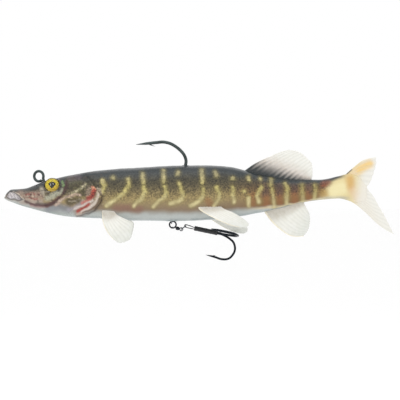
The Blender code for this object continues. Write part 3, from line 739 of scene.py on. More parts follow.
def head_relief(x, z):
    """Height of the head's moulded features, in millimetres along the skin's normal."""
    mouth = depth_inside(x, z, MOUTH_MM)
    rise = -0.85 * smoothstep(-0.15, 0.7, mouth)
    for lip in (UPPER_LIP_MM, LOWER_LIP_MM):
        rise += 0.28 * np.exp(-(line_distance(x, z, lip) / 0.5) ** 2)
    rise -= 0.32 * np.exp(-(line_distance(x, z, CHEEK_LINE_MM) / 0.45) ** 2)
    rise -= 0.18 * np.exp(-(line_distance(x, z, PLATE_LINE_MM) / 0.4) ** 2)
    for place in NOSTRILS_MM:
        rise -= 0.35 * stroke(x, z, [place], 0.15, 0.35)
    edge = line_distance(x, z, GILL_EDGE_MM)
    ahead = depth_inside(x, z, GILL_EDGE_MM + [(8.0, -21.0), (8.0, 2.0)]) > 0
    cover = np.where(ahead, 0.65 * np.exp(-edge / 5.0), -0.35 * np.exp(-(edge / 1.2) ** 2))
    rise += cover
    rays = np.cos(edge * 2 * math.pi / 1.25) * smoothstep(0.4, 1.2, edge)
    slit = ahead * (1 - smoothstep(4.6, 6.2, edge)) * smoothstep(-4.0, -8.5, z)
    return rise + 0.16 * rays * slit


def press_eye_socket(points, side):
    """Flattens the skin under one eye to the socket's floor, and raises a lid round it."""
    lean = math.radians(EYE_LEAN_DEG)
    out = np.array([0.0, side * math.cos(lean), math.sin(lean)])
    x, y, z = EYE_PLACE_MM
    seat = np.array([x, side * y, z]) - out * EYE_SOCKET_MM
    offset = points - seat
    height = offset @ out
    radius = np.linalg.norm(offset - height[..., None] * out, axis=-1)
    near = height > -2.0
    press = near * (1 - smoothstep(EYE_R_MM - 0.12, EYE_R_MM + 0.18, radius))
    lid = near * 0.42 * np.exp(-((radius - EYE_R_MM - 0.55) / 0.42) ** 2)
    move = lid - press * (height + 0.12)
    return points + move[..., None] * out


def press_hole(points, centre, axis, radius, depth):
    """A small round dimple with a raised lip, pressed along an axis."""
    offset = points - np.asarray(centre, float)
    axis = unit(axis)
    height = offset @ axis
    away = np.linalg.norm(offset - height[..., None] * axis, axis=-1)
    near = abs(height) < 4.0
    move = near * (0.25 * np.exp(-((away - radius - 0.4) / 0.35) ** 2)
                   - depth * (1 - smoothstep(radius * 0.6, radius + 0.2, away)))
    return points + move[..., None] * axis


def skin_surface(settings):
    """The whole skin as one grid: sections, the head's relief and low swells along the
    normal, then the sockets and the places where the wires come out."""
    points = skin_base(skin_rows(settings), settings.columns)
    normals = grid_normals(points)
    x, z = points[..., 0], points[..., 2]
    on_head = 1 - smoothstep(HEAD_END_MM - 1.0, HEAD_END_MM + 4.0, x)
    rise = head_relief(x, z) * on_head * smoothstep(0.25, 0.6, abs(normals[..., 1]))
    rise += 0.16 * cloud(points, 7.0, 3) * smoothstep(20.0, 40.0, x)
    rise += 0.05 * cloud(points, 2.2, 5)
    points = points + rise[..., None] * normals
    for _, side in SIDES:
        points = press_eye_socket(points, side)
    points = press_hole(points, in_plane(HOOK_EXIT_MM), (0, 0, 1), 0.9, 0.5)
    points = press_hole(points, in_plane(NECK_EXIT_MM), (0, 0, 1), 0.9, 0.4)
    points = press_hole(points, in_plane(HANGER_EYE_MM), (0, 0, -1), 1.9, 1.7)
    return points


# Sprayed bars and spots on each side, as lines of (place, height).
BARS_MM = [
    [(33.0, -2.0), (34.2, -5.0), (33.2, -8.3)],
    [(38.5, -0.9)],
    [(45.9, -1.6), (46.7, -4.9), (44.5, -7.9), (41.2, -10.8), (37.6, -13.2), (35.3, -15.4)],
    [(53.5, 1.2), (53.8, -3.2)],
    [(54.4, -5.6), (55.2, -8.2), (53.5, -10.9), (50.2, -13.2), (48.7, -15.3)],
    [(64.1, 2.6), (64.2, -2.6)],
    [(64.8, -5.4), (65.5, -8.0), (64.9, -10.6), (61.8, -13.0), (59.2, -15.6)],
    [(71.3, 2.4), (71.6, 1.2)],
    [(72.4, -3.6), (73.4, -6.6), (74.2, -9.4), (73.8, -11.4), (71.2, -13.3), (67.4, -13.9)],
    [(83.6, 3.3), (83.7, -3.3)],
    [(84.1, -6.4), (84.5, -8.6), (83.9, -10.8), (81.6, -13.0), (78.0, -15.2)],
    [(90.6, 1.6), (91.1, 0.2)],
    [(91.4, -5.6), (92.4, -8.8), (92.3, -12.0), (90.0, -15.0)],
    [(99.6, -1.4)],
    [(99.7, -5.8), (100.0, -13.4)],
    [(105.3, -7.8)],
    [(107.6, -0.6), (107.9, -1.6)],
    [(107.5, -11.0), (107.7, -15.2)],
    [(113.6, -1.6)],
    [(114.4, -5.6), (113.0, -7.8), (111.8, -10.3), (113.0, -13.5)],
    [(119.2, -1.8), (118.7, -4.4)],
    [(119.3, -6.6), (120.5, -11.0), (121.1, -15.4)],
    [(126.6, -3.9), (127.3, -6.6), (127.0, -10.7), (127.2, -13.8)],
    [(134.9, -4.6), (135.1, -8.4)],
    [(135.3, -10.2), (135.5, -12.6)],
    [(141.7, -4.8), (141.8, -11.2)],
]
# Dark patches between the rear bars, and warm ones below them.
PLUM_PATCHES_MM = [
    [(116.4, -6.0), (116.0, -9.0)], [(123.6, -5.4), (123.6, -9.0)],
    [(130.8, -5.5), (131.0, -8.0)], [(138.6, -5.4), (139.0, -8.0)],
]
EMBER_PATCHES_MM = [
    [(110.0, -10.0), (109.8, -14.0)], [(116.4, -11.5), (116.8, -14.0)],
    [(123.8, -11.0), (124.0, -13.0)], [(131.0, -10.0), (131.4, -12.4)],
    [(138.4, -9.6), (138.8, -11.4)], [(86.5, -12.6), (88.5, -14.6)],
]
# Airbrushed touches on the head and tail: colour, cover, half width, soft edge, line.
HEAD_TOUCHES = [
    ("#3E4040", 0.92, 0.9, 1.6,
     [(-14.6, -7.0), (-10.0, -6.9), (-5.0, -6.0), (0.0, -3.7), (4.0, -1.4)]),
    ("#9C8577", 0.70, 1.2, 2.4, [(-9.5, -9.8), (-4.5, -10.6), (1.0, -10.4)]),
    ("#A5968A", 0.70, 0.5, 1.6, [(-8.6, -13.2), (-4.0, -12.9), (1.5, -13.0)]),
    ("#73767E", 0.65, 0.4, 2.8, [(5.0, -17.0), (11.0, -15.9), (15.5, -17.0)]),
    ("#A6A898", 0.75, 0.4, 2.0, [(4.8, -11.2), (8.6, -9.8), (11.6, -7.4)]),
    ("#B9B0A0", 0.60, 0.2, 1.6, [(1.8, -6.4), (2.8, -9.0)]),
    ("#7E3F38", 0.75, 0.2, 0.8, [(-5.8, -9.2), (-3.0, -8.9), (-2.0, -9.4)]),
    ("#5A2F30", 0.75, 0.1, 0.8, [(0.0, -9.3), (0.8, -9.5)]),
    ("#8A4A42", 0.65, 0.1, 0.8, [(-4.2, -11.0), (-1.4, -11.7), (-0.6, -11.4)]),
    ("#5A3F3C", 0.60, 0.1, 0.7, [(2.4, -9.9), (2.6, -10.2)]),
    ("#8C4238", 0.55, 0.2, 1.4, [(-3.6, -14.6), (0.6, -15.4), (4.4, -15.1)]),
    ("#503028", 0.85, 0.5, 1.5, [(4.4, -15.0), (8.0, -13.4), (11.0, -11.4)]),
    ("#3E332A", 0.60, 0.2, 1.2, [(-0.6, -14.4), (3.6, -14.4)]),
    ("#4E4A30", 0.70, 1.4, 2.6, [(16.6, -3.0), (20.0, -4.4), (24.0, -6.8)]),
    ("#463D29", 0.80, 0.8, 1.8, [(16.0, -13.2), (18.5, -12.8), (21.0, -12.6)]),
    ("#3B3626", 0.65, 0.4, 1.6, [(22.6, -9.2), (25.0, -9.4)]),
    ("#5A4A54", 0.55, 0.4, 2.0, [(16.5, -0.9), (21.0, -0.7)]),
    ("#A8A384", 0.65, 0.1, 1.0, [(17.6, -9.0), (21.4, -6.6), (24.6, -4.2)]),
    ("#7FA468", 0.80, 0.2, 0.9, [(12.2, -2.6), (12.9, -4.6)]),
    ("#C0A89A", 0.75, 0.1, 1.0,
     [(9.0, -14.6), (12.0, -12.4), (14.4, -10.8), (19.0, -9.4), (22.0, -9.6)]),
    ("#2E282C", 0.80, 0.4, 1.3, [(11.0, -1.2), (11.5, -3.8), (10.6, -6.8)]),
    ("#3B2A26", 0.70, 0.3, 1.2, [(15.0, -3.4), (14.8, -6.4), (13.6, -8.8)]),
    ("#BFAFA0", 0.70, 0.4, 1.6, [(30.6, -7.0), (31.6, -9.0)]),
]
# Gill slit: pale rays, red streaks with dark cores, and the dark edge behind them.
GILL_TOUCHES = [
    ("#8F7E72", 0.70, 1.2, 2.2, [(27.0, -8.0), (27.6, -12.0), (24.6, -16.0), (20.5, -18.2)]),
    ("#A9A3AC", 0.50, 0.2, 1.5, [(23.2, -13.2), (20.0, -15.8), (16.0, -17.2)]),
    ("#C98A70", 0.80, 0.3, 1.1, [(28.2, -5.8), (29.0, -7.4)]),
    (None, 0.90, 0.5, 1.3, [(28.6, -7.8), (28.0, -9.8), (26.2, -11.2)]),
    ("#6E211B", 0.80, 0.1, 0.9, [(28.6, -8.8), (27.2, -10.6), (25.6, -11.6)]),
    ("#B5655A", 0.80, 0.2, 1.0, [(26.4, -12.0), (24.6, -13.2), (22.6, -13.8)]),
    ("#D6CBC4", 0.75, 0.1, 0.9, [(28.0, -12.4), (23.6, -14.8), (18.6, -16.8)]),
    (None, 0.95, 0.3, 1.1, [(26.2, -14.6), (23.4, -16.6), (20.2, -18.0)]),
    ("#7A2018", 0.60, 0.0, 0.7, [(25.0, -15.4), (22.4, -17.0)]),
    ("#D8CDC2", 0.80, 0.2, 1.0, [(31.0, -9.8), (30.4, -12.4), (27.0, -15.6), (22.4, -18.4)]),
    ("#C9B09F", 0.60, 0.1, 0.8, [(24.0, -18.9), (20.0, -19.4)]),
    ("#5C463A", 0.75, 0.0, 0.9, [(31.8, -12.0), (29.8, -14.8), (26.6, -17.2), (23.0, -18.9)]),
]
TAIL_TOUCHES = [
    ("#7C4029", 0.70, 0.6, 2.2, [(146.2, -4.2), (148.6, -3.8)]),
    ("#A8843F", 0.60, 0.6, 2.2, [(146.0, -8.8), (147.6, -8.6)]),
    ("#EADFAE", 0.90, 1.4, 3.8, [(151.6, -7.4), (155.6, -6.2)]),
    ("#CFA158", 0.75, 0.5, 3.4, [(159.8, -1.6), (160.2, -5.2)]),
    ("#DDBE96", 0.70, 0.5, 3.4, [(161.2, -7.8), (163.6, -10.6)]),
    ("#E5D3B8", 0.70, 0.5, 3.0, [(165.0, -12.6), (172.0, -19.5), (176.0, -24.5)]),
]


def base_paint(x, height, settings):
    """Sprayed ground colours: bands up the side from belly to back, olive on the torso and
    rust behind it, fading to cream at the tail. height runs from 0 at the belly to 1."""
    shape = x.shape + (3,)
    rear = smoothstep(92.0, 118.0, x)
    side = tint(np.broadcast_to(settings.flank, shape), settings.rust, rear)
    low = tint(np.broadcast_to(settings.low_flank, shape), "#7A592F", rear)
    paint = np.broadcast_to(settings.belly, shape)
    belly_line = 0.16 - 0.08 * smoothstep(100, 135, x) + 0.06 * smoothstep(16, -6, x)
    belly_line = belly_line + 0.008 * np.sin(x * 0.23) + 0.004 * np.sin(x * 0.71)
    # Painted shade: the underside darkens to blue-grey towards the keel, where it turns away from
    # the light.
    paint = tint(paint, "#7F8C8E", 0.7 * (1 - smoothstep(0.0, 0.07, height)))
    paint = tint(paint, low, smoothstep(belly_line - 0.07, belly_line + 0.06, height))
    gold = np.exp(-((height - 0.38) / 0.13) ** 2) * (1 - 0.6 * rear)
    paint = tint(paint, side, smoothstep(0.22, 0.5, height))
    paint = tint(paint, "#A5925F", 0.55 * gold)
    paint = tint(paint, settings.shoulder, smoothstep(0.45, 0.78, height) * (1 - 0.3 * rear))
    cream = np.exp(-((height - belly_line + 0.02) / 0.03) ** 2) * smoothstep(104, 120, x)
    paint = tint(paint, "#D8C79A", 0.7 * cream)
    slant = x - 6.5 * height
    tail = smoothstep(141.0, 148.5, slant)
    paint = tint(paint, "#DCCB96", tail)
    paint = tint(paint, "#B9B39C", tail * (1 - smoothstep(0.08, 0.22, height)) * (
        1 - smoothstep(156, 161, x)))
    back_line = 0.86 + 0.07 * smoothstep(144.0, 156.0, x)
    back = smoothstep(back_line - 0.12, back_line + 0.06, height)
    return tint(paint, settings.back, back * (1 - smoothstep(153.0, 160.0, x)))


def skin_paint(points, settings):
    """The skin's paint: ground colours, then bars, then the head's and tail's touches, and
    how much speckle each point takes."""
    x = wandering(points, 0, 0.45, 3.2, 1.2, 11)
    z = wandering(points, 2, 0.45, 3.2, 1.2, 12)
    height = np.clip(height_share(points[..., 0], z), 0, 1)
    paint = base_paint(x, height, settings)
    blush = stroke(x, z, [(40.0, -16.0), (46.0, -16.2), (52.0, -16.8)], 0.3, 3.0)
    paint = tint(paint, "#84534B", 0.45 * blush)
    for line in PLUM_PATCHES_MM:
        paint = tint(paint, settings.plum, 0.5 * stroke(x, z, line, 0.6, 2.4))
    for line in EMBER_PATCHES_MM:
        paint = tint(paint, "#8F5428", 0.42 * stroke(x, z, line, 0.6, 2.2))
    worn = 0.72 + 0.38 * cloud(points, 1.9, 21)
    bar = tint(np.broadcast_to(settings.bar, paint.shape), "#ADA252",
               0.65 * np.exp(-((z + 6.0) / 4.5) ** 2))
    bars = np.zeros(x.shape)
    for line in BARS_MM:
        halo = stroke(x, z, line, 0.5, 2.2)
        bars = np.maximum(bars, stroke(x, z, line, 0.25, 1.15))
        paint = tint(paint, "#8A8046", 0.35 * halo)
    faint = (1 - 0.5 * smoothstep(-1.5, 1.5, z)) * (1 - 0.3 * smoothstep(112.0, 122.0, x))
    paint = tint(paint, bar, np.clip(worn * bars, 0, 1) * faint)
    paint = paint_head(points, paint, settings)
    paint = tail_touches(points[..., 0], points[..., 2], paint)
    speckle = smoothstep(0.24, 0.55, height) * (1 - 0.7 * smoothstep(0.86, 0.95, height))
    speckle = speckle * (1 - smoothstep(143, 151, x)) * (0.5 + 0.5 * smoothstep(6, 30, x))
    return paint, 0.05 + 0.7 * speckle * (1 - 0.65 * bars)


def tail_touches(x, z, paint):
    """The tail's airbrushed touches and its fade to milky white, by place and height. The
    skin and the fin take the same ones, so that they match where they meet."""
    paint = brush(paint, x, z, TAIL_TOUCHES)
    fade = smoothstep(159.5, 167.5, x - 0.15 * (z + 6.0))
    return tint(paint, "#E6E2D8", 0.95 * fade)


def paint_head(points, paint, settings):
    """The head's airbrushed touches, mouth, cheek line and gill slit."""
    x = wandering(points, 0, 0.4, 2.4, 1.0, 15)
    z = wandering(points, 2, 0.4, 2.4, 1.0, 16)
    height = height_share(points[..., 0], z)
    snout = smoothstep(5.0, -3.0, x)
    paint = tint(paint, "#8E7F75", 0.9 * snout * smoothstep(0.2, 0.4, height)
                 * (1 - smoothstep(0.6, 0.85, height)))
    throat = smoothstep(20.0, 8.0, x) * (1 - smoothstep(0.14, 0.36, height))
    paint = tint(paint, "#A3A5A1", throat)
    # Painted shade: the throat darkens towards the keel, where it turns away from the light.
    paint = tint(paint, "#7C8B86", 0.7 * throat * (1 - smoothstep(0.02, 0.12, height)))
    paint = brush(paint, x, z, HEAD_TOUCHES)
    on_side = smoothstep(0.2, 0.34, height) * (1 - smoothstep(32.0, 38.0, x))
    streaks = cloud(points * (0.5, 1.0, 1.0), 0.9, 51)
    paint = tint(paint, "#3E342C", 0.6 * on_side * smoothstep(0.1, 0.8, streaks))
    flecks = cloud(points * (0.6, 1.0, 1.0), 0.8, 52)
    low_side = on_side * (1 - smoothstep(0.6, 0.85, height))
    paint = tint(paint, "#CFC4B0", 0.4 * low_side * smoothstep(0.2, 0.9, flecks))
    line = stroke(x, z, CHEEK_LINE_MM, 0.0, 1.0)
    paint = tint(paint, "#46282A", 0.8 * line)
    paint = brush(paint, x, z, GILL_TOUCHES, settings.gill_red)
    edge = line_distance(x, z, GILL_EDGE_MM)
    rim = np.exp(-(edge / 0.6) ** 2) * smoothstep(-6.0, -10.0, z)
    paint = tint(paint, "#43342B", 0.75 * rim)
    # Painted highlight: a thin bright line along the upper lip's lower border, where light catches
    # its ridge.
    paint = tint(paint, "#C2B7AA", 0.8 * stroke(x, z, UPPER_LIP_MM, 0.1, 0.5))
    paint = tint(paint, "#B9B5AC", 0.7 * stroke(x, z, LOWER_LIP_MM, 0.3, 0.5))
    mouth = depth_inside(x, z, MOUTH_MM)
    paint = tint(paint, "#C2BDC0", smoothstep(-0.3, 0.4, mouth))
    gaps = smoothstep(0.2, 0.9, np.sin(x * 4.2 + z))
    paint = tint(paint, "#7C747C", 0.5 * gaps * smoothstep(0.2, 0.8, mouth))
    paint = tint(paint, "#3F3A3C", 0.75 * np.exp(-(mouth / 0.32) ** 2))
    below = line_distance(x, z, LOWER_LIP_MM)
    return tint(paint, "#453B3C", 0.5 * np.exp(-(below / 0.35) ** 2))


def cut_skin(name, rows, points, paint, cover, normals, material):
    """One stretch of the skin as a closed piece. After its rows come a smaller ring inside
    each cut end, and then a middle point in each."""
    part, count = points[rows], points.shape[1]
    shades, covers, ways = paint[rows], cover[rows], normals[rows]
    centres = [part[row].mean(axis=0) for row in (0, -1)]
    rings = [c + (part[row] - c) * 0.97 for row, c in zip((0, -1), centres)]
    end_ways = np.array([[-1.0, 0.0, 0.0], [1.0, 0.0, 0.0]])
    all_points = np.vstack([part.reshape(-1, 3), *rings, centres])
    all_paint = np.vstack([shades.reshape(-1, 3), shades[0], shades[-1], shades[[0, -1], 0]])
    all_cover = np.concatenate([covers.ravel(), covers[0], covers[-1], covers[[0, -1], 0]])
    all_ways = np.vstack([ways.reshape(-1, 3), np.repeat(end_ways, count, axis=0), end_ways])
    j = np.arange(count)
    k = (j + 1) % count
    total = len(part) * count
    last, first_ring, last_ring = total - count, total, total + count
    first_dot = np.full(count, total + 2 * count)
    bands = (
        (first_ring + j, first_ring + k, k, j),
        (last + j, last + k, last_ring + k, last_ring + j),
        (first_dot, first_ring + k, first_ring + j),
        (first_dot + 1, last_ring + j, last_ring + k),
    )
    faces = band_faces(len(part), count)
    for band in bands:
        faces += np.stack(band, axis=1).tolist()
    return add_piece(name, all_points, faces, material, all_paint, all_cover,
                     all_ways)


def build_skin(settings):
    points = skin_surface(settings)
    paint, cover = skin_paint(points, settings)
    normals = grid_normals(points)
    material = painted_plastisol(settings)
    x = points[:, 0, 0]
    nearest = [int(np.argmin(abs(x - seam))) for seam in SKIN_SEAMS_MM]
    cuts = [0, *nearest, len(x) - 1]
    stretches = (
        ("skin_head_torso", "body_front", "body_rear", ("body_front", "body_rear")),
        ("skin_rear", "body_rear", "tail_stem", ("tail_stem",)),
        ("skin_tail_root", "tail_stem", "tail_fin", ("tail_fin",)),
    )
    for number, (name, ahead, behind, nodes) in enumerate(stretches):
        rows = slice(cuts[number], cuts[number + 1] + 1)
        piece = cut_skin(name, rows, points, paint, cover, normals, material)
        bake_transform(piece)
        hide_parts(*nodes)


# ---------------------------------------------------------------- fins

def fin_web(sides, across, along):
    """Coons patch of a fin's four sides: the two ruled surfaces between opposite sides
    added, less the flat patch through the corners. Rows run from root to margin."""
    lead, trail = (even_path(sides[key], along)[:, None] for key in ("lead", "trail"))
    root, edge = (even_path(sides[key], across)[None] for key in ("root", "edge"))
    u = np.linspace(0, 1, across)[None, :, None]
    v = np.linspace(0, 1, along)[:, None, None]
    corners = ((1 - u) * (1 - v) * lead[0, 0] + u * (1 - v) * trail[0, 0]
               + (1 - u) * v * lead[-1, 0] + u * v * trail[-1, 0])
    return (1 - u) * lead + u * trail + (1 - v) * root + v * edge - corners


def fin_solid(web, place, out, half):
    """A lens-shaped sheet: the web's points, put in space by place, moved half both ways
    along out. Each row runs down one face and back up the other, and both ends are closed."""
    along, across = web.shape[:2]
    centre = place(web)
    shift = half[..., None] * out
    faces_pair = np.concatenate([centre + shift, (centre - shift)[:, ::-1]], axis=1)
    around = 2 * across
    faces = band_faces(along, around)
    i = np.arange(across - 1)
    twin = around - 1 - i
    last = (along - 1) * around
    faces += np.stack([i + 1, i, twin, twin - 1], axis=1).tolist()
    faces += np.stack([last + i, last + i + 1, last + twin - 1, last + twin], axis=1).tolist()
    return faces_pair.reshape(-1, 3), faces


def both_faces(values):
    """Values on the web's grid, in the order of fin_solid's points."""
    pair = np.concatenate([values, values[:, ::-1]], axis=1)
    return pair.reshape(-1, *values.shape[2:])


def fin_shape(web, rays, settings, root_share=0.28, scallop=0.3):
    """The web with its margin scalloped between rays, its half thickness, and the rays'
    height from 0 in a groove to 1 on a ray. The foot is thick, the web thins to its margin
    and rounds off over the last half millimetre."""
    along, across = web.shape[:2]
    u = np.linspace(0, 1, across)[None, :]
    v = np.linspace(0, 1, along)[:, None]
    ray = 0.5 + 0.5 * np.cos(2 * math.pi * rays * u) * np.ones_like(v)
    reach = unit(web[-1] - web[-6])
    web = web + scallop * ((ray - 0.75) * v ** 10)[..., None] * reach
    web_half, root_half = settings.half_thick / MM, settings.root_half / MM
    half = web_half * (1 - 0.45 * v) + (root_half - web_half) * (1 - smoothstep(0, root_share, v))
    half = half * (0.72 + 0.28 * ray ** 0.8 * smoothstep(0.02, 0.2, v) + 0.28 * (
        1 - smoothstep(0.02, 0.2, v)))
    breadth = np.linalg.norm(web[:, -1] - web[:, 0], axis=-1)[:, None]
    reach_mm = np.linalg.norm(web[-1] - web[0], axis=-1)[None, :]
    rim = np.minimum(np.minimum(u, 1 - u) * breadth, (1 - v) * reach_mm)
    round_off = np.sqrt(np.clip(1 - (1 - np.clip(rim / 0.5, 0, 1)) ** 2, 0, 1))
    return web, np.maximum(half * round_off, 0.03), ray, u, v


def facing(points, faces):
    """The same solid with its faces pointing out: where its volume, the sum of its corners'
    triple products, is negative, every face is reversed."""
    corners = np.array([face[:3] for face in faces])
    a, b, c = (points[corners[:, i]] for i in range(3))
    if np.einsum("ij,ij->i", a - points.mean(0), np.cross(b - a, c - a)).sum() < 0:
        faces = [face[::-1] for face in faces]
    return faces


def add_fin(name, sides, place, out, rays, settings, material, shade, grid=(150, 70), sway=0.35,
            contrast=0.3, speckle=None):
    """One rayed fin. shade(web, u, v) gives its ground colour; the grooves take the ray
    shade by contrast, and sway bows the web to one side between root and margin."""
    web = fin_web(sides, *grid)
    web, half, ray, u, v = fin_shape(web, rays, settings)
    bow = sway * np.sin(math.pi * u) * v ** 2

    def placed(points):
        return place(points) + bow[..., None] * out

    points, faces = fin_solid(web, placed, out, half)
    paint = shade(web, u * np.ones_like(v), v * np.ones_like(u))
    groove = (1 - ray) ** 1.5 * smoothstep(0.15, 0.5, v)
    paint = tint(paint, settings.ray_shade, contrast * groove)
    cover = None if speckle is None else np.full(len(points), speckle)
    return add_piece(name, points, facing(points, faces), material,
                     both_faces(paint), cover)


def white_shade(settings):
    """Plain milky plastic, a little greyer towards the margin."""
    def shade(web, u, v):
        ground = np.broadcast_to(settings.web, web.shape[:2] + (3,))
        ground = tint(ground, "#CFD2CC", 0.6 * smoothstep(0.4, 1.0, v))
        ground = tint(ground, "#B3AA9B", 0.65 * (1 - smoothstep(0.12, 0.42, v)))
        return tint(ground, "#F1E6CC", 0.8 * (1 - smoothstep(0.0, 0.07, u)))
    return shade


def dorsal_shade(settings):
    """Near-black at the root, feathered out along the rays into warm grey-white."""
    def shade(web, u, v):
        ground = np.broadcast_to(settings.web, web.shape[:2] + (3,))
        ground = tint(ground, "#D3C9C0", 0.9 * smoothstep(0.8, 0.3, v))
        reach = 0.26 - 0.1 * u + 0.025 * np.sin(2 * math.pi * 13 * u) + 0.03 * np.sin(71 * u)
        dark = 1 - smoothstep(reach - 0.16, reach + 0.26, v)
        return tint(ground, settings.root_dark, dark)
    return shade


def tail_shade(settings):
    """Cream at the root, gold along the upper lobe's middle, milky white at the margin."""
    def shade(web, u, v):
        x, z = web[..., 0], web[..., 1]
        ground = tail_touches(x, z, np.broadcast_to(linear("#DCCB96"), web.shape[:2] + (3,)))
        ground = tint(ground, settings.web, 0.8 * smoothstep(0.55, 0.95, v))
        blush = stroke(x, z, [(161.0, 1.4), (165.6, 4.0), (169.6, 6.2)], 0.6, 3.4)
        ground = tint(ground, "#E9D2AA", 0.8 * blush)
        gold = stroke(x, z, [(164.6, 3.4), (167.0, 4.9), (169.8, 6.4)], 0.2, 2.9)
        ground = tint(ground, settings.tail_gold, 0.8 * gold)
        edge = stroke(x, z, [(156.6, 0.2), (160.4, 3.4)], 0.2, 0.8)
        return tint(ground, "#4A453F", 0.8 * edge)
    return shade


def build_fins(settings):
    material = milky_plastisol()
    middle = (
        ("dorsal_fin", DORSAL_FIN_MM, 13, dorsal_shade(settings), (106.0, 3.4), (0.152, 0.988)),
        ("anal_fin", ANAL_FIN_MM, 10, white_shade(settings), (115.6, -18.4), (0.224, -0.975)),
    )
    for node, sides, rays, shade, root, way in middle:
        fin = add_fin(node + "_web", sides, in_plane, ACROSS, rays, settings, material, shade,
                      contrast=0.25)
        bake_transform(fin)
        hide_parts(node)
    pairs = (
        ("pectoral_fin", PECTORAL_FIN_MM, PECTORAL_ROOT_MM, PECTORAL_SPLAY_DEG),
        ("pelvic_fin", PELVIC_FIN_MM, PELVIC_ROOT_MM, PELVIC_SPLAY_DEG),
    )
    for node, sides, (root_x, root_z), splay in pairs:
        root_y = float(body_side(root_x, root_z)) + PAIRED_ROOT_CLEAR_MM
        for word, side in SIDES:
            lean = math.radians(splay[word])
            out_way = np.array([0.0, side * math.sin(lean), -math.cos(lean)])
            normal = np.array([0.0, side * math.cos(lean), math.sin(lean)])
            foot = np.array([0.0, side * root_y, root_z])

            def place(web, foot=foot, out_way=out_way):
                along = web[..., :1] * np.array([1.0, 0.0, 0.0])
                return along + foot + web[..., 1:] * out_way

            name = f"{node}_{word}"
            fin = add_fin(name + "_web", sides, place, normal, PAIRED_RAYS, settings, material,
                          white_shade(settings), grid=(120, 60), sway=0.25)
            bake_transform(fin)
            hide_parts(name)


def build_tail(settings, skin):
    """The tail's two lobes as one fan of rays."""
    tail = add_fin("tail_fin_web", TAIL_FIN_MM, in_plane, ACROSS, 15, settings,
                   painted_plastisol(skin), tail_shade(settings), grid=(190, 90), sway=0.3,
                   contrast=0.22, speckle=0.05)
    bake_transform(tail)
    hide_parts("tail_fin")


# ---------------------------------------------------------------- eyes

def pupil_cover(right, up):
    """A round-shouldered drop that points down: a half ellipse above, a wedge below."""
    top = 1.8 * np.sqrt(np.clip(1 - ((up - 0.3) / 1.3) ** 2, 0, 1))
    wedge = 1.8 * np.clip((up + 1.75) / 2.05, 0, 1) ** 0.75
    half = np.where(up > 0.3, top, wedge)
    return smoothstep(-0.08, 0.08, half - abs(right))


def build_eyes(settings):
    foil, epoxy = printed_foil(), clear_epoxy()
    lean = math.radians(EYE_LEAN_DEG)
    rings, sides = settings.rings, 96
    for word, side in SIDES:
        out = np.array([0.0, side * math.cos(lean), math.sin(lean)])
        up = np.array([0.0, -side * math.sin(lean), math.cos(lean)])
        seat = np.array([EYE_PLACE_MM[0], side * EYE_PLACE_MM[1], EYE_PLACE_MM[2]])
        seat = seat - out * EYE_SOCKET_MM
        share = np.linspace(1, 0, rings)
        face = np.stack([EYE_DISC_MM + 0.18 * (1 - share ** 2), (EYE_R_MM - 0.12) * share], axis=1)
        profile = [(0.0, EYE_R_MM), (EYE_DISC_MM - 0.1, EYE_R_MM), *face]
        points, faces = turned(profile, seat, out, sides)
        offset = points - seat
        right, height = offset[:, 0], offset @ up
        radius = np.hypot(right, height)
        paint = np.broadcast_to(np.asarray(settings.iris), (len(points), 3))
        paint = tint(paint, "#C8901C", 0.55 * smoothstep(0.8, -3.4, height - 0.3 * right))
        paint = tint(paint, settings.rim, smoothstep(EYE_R_MM - 0.75, EYE_R_MM - 0.25, radius))
        paint = tint(paint, settings.pupil, pupil_cover(right, height))
        # Painted highlights: two pale strokes in the pupil stand in for the dome's reflections of
        # the light.
        for line in ([(-0.75, 0.55), (-0.65, -0.2)], [(0.45, 0.8), (0.7, 0.4)]):
            paint = tint(paint, "#C9C8C2", 0.75 * stroke(right, height, line, 0.1, 0.32))
        disc = add_piece(f"eye_print_{word}", points, faces, foil, paint)
        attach(disc, "body_front")
        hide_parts(f"eye_disc_{word}")
        rise = np.linspace(0, math.pi / 2, 40)
        base = EYE_DISC_MM + 0.2
        dome = np.stack([base + 0.12 + (EYE_DOME_MM + 0.2) * np.sin(rise),
                         (EYE_R_MM - 0.02) * np.cos(rise)], axis=1)
        profile = [(base, EYE_R_MM - 0.25), (base, EYE_R_MM - 0.06), *dome]
        points, faces = turned(profile, seat, out, sides)
        clear = add_piece(f"eye_glaze_{word}", points, faces, epoxy)
        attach(clear, "body_front")
        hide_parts(f"eye_dome_{word}")


def build_teeth():
    """Short cones along the lower jaw, leaning out with the lip."""
    line = even_path(LOWER_LIP_MM[1:], 9)[:-1]
    cones = []
    for x, z in line:
        size = 0.30 + 0.12 * math.sin(x * 7.0)
        for _, side in SIDES:
            y = side * (float(body_side(x, z + 0.3)) - 0.35)
            way = unit((0.1, side * 0.25, 1.0))
            profile = [(-0.3, 0.2), (0.0, 0.19), (size * 0.6, 0.12), (size, 0.02)]
            cones.append(turned(profile, (x, y, z + 0.25), way, 8))
    points, faces = join(*cones)
    paint = np.broadcast_to(linear("#EFEDE4"), (len(points), 3))
    teeth = add_piece("lower_teeth", points, faces, milky_plastisol(), paint)
    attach(teeth, "body_front")


# ---------------------------------------------------------------- tackle

def pointed(path, radius, point_length):
    """Wire radius along a path that ends in a ground point: a cone with a rounded start."""
    run = run_of(path)
    left = (run[-1] - run) / point_length
    return radius * np.interp(left, [0, 0.06, 0.6, 1.0], [0.06, 0.2, 0.86, 1.0])


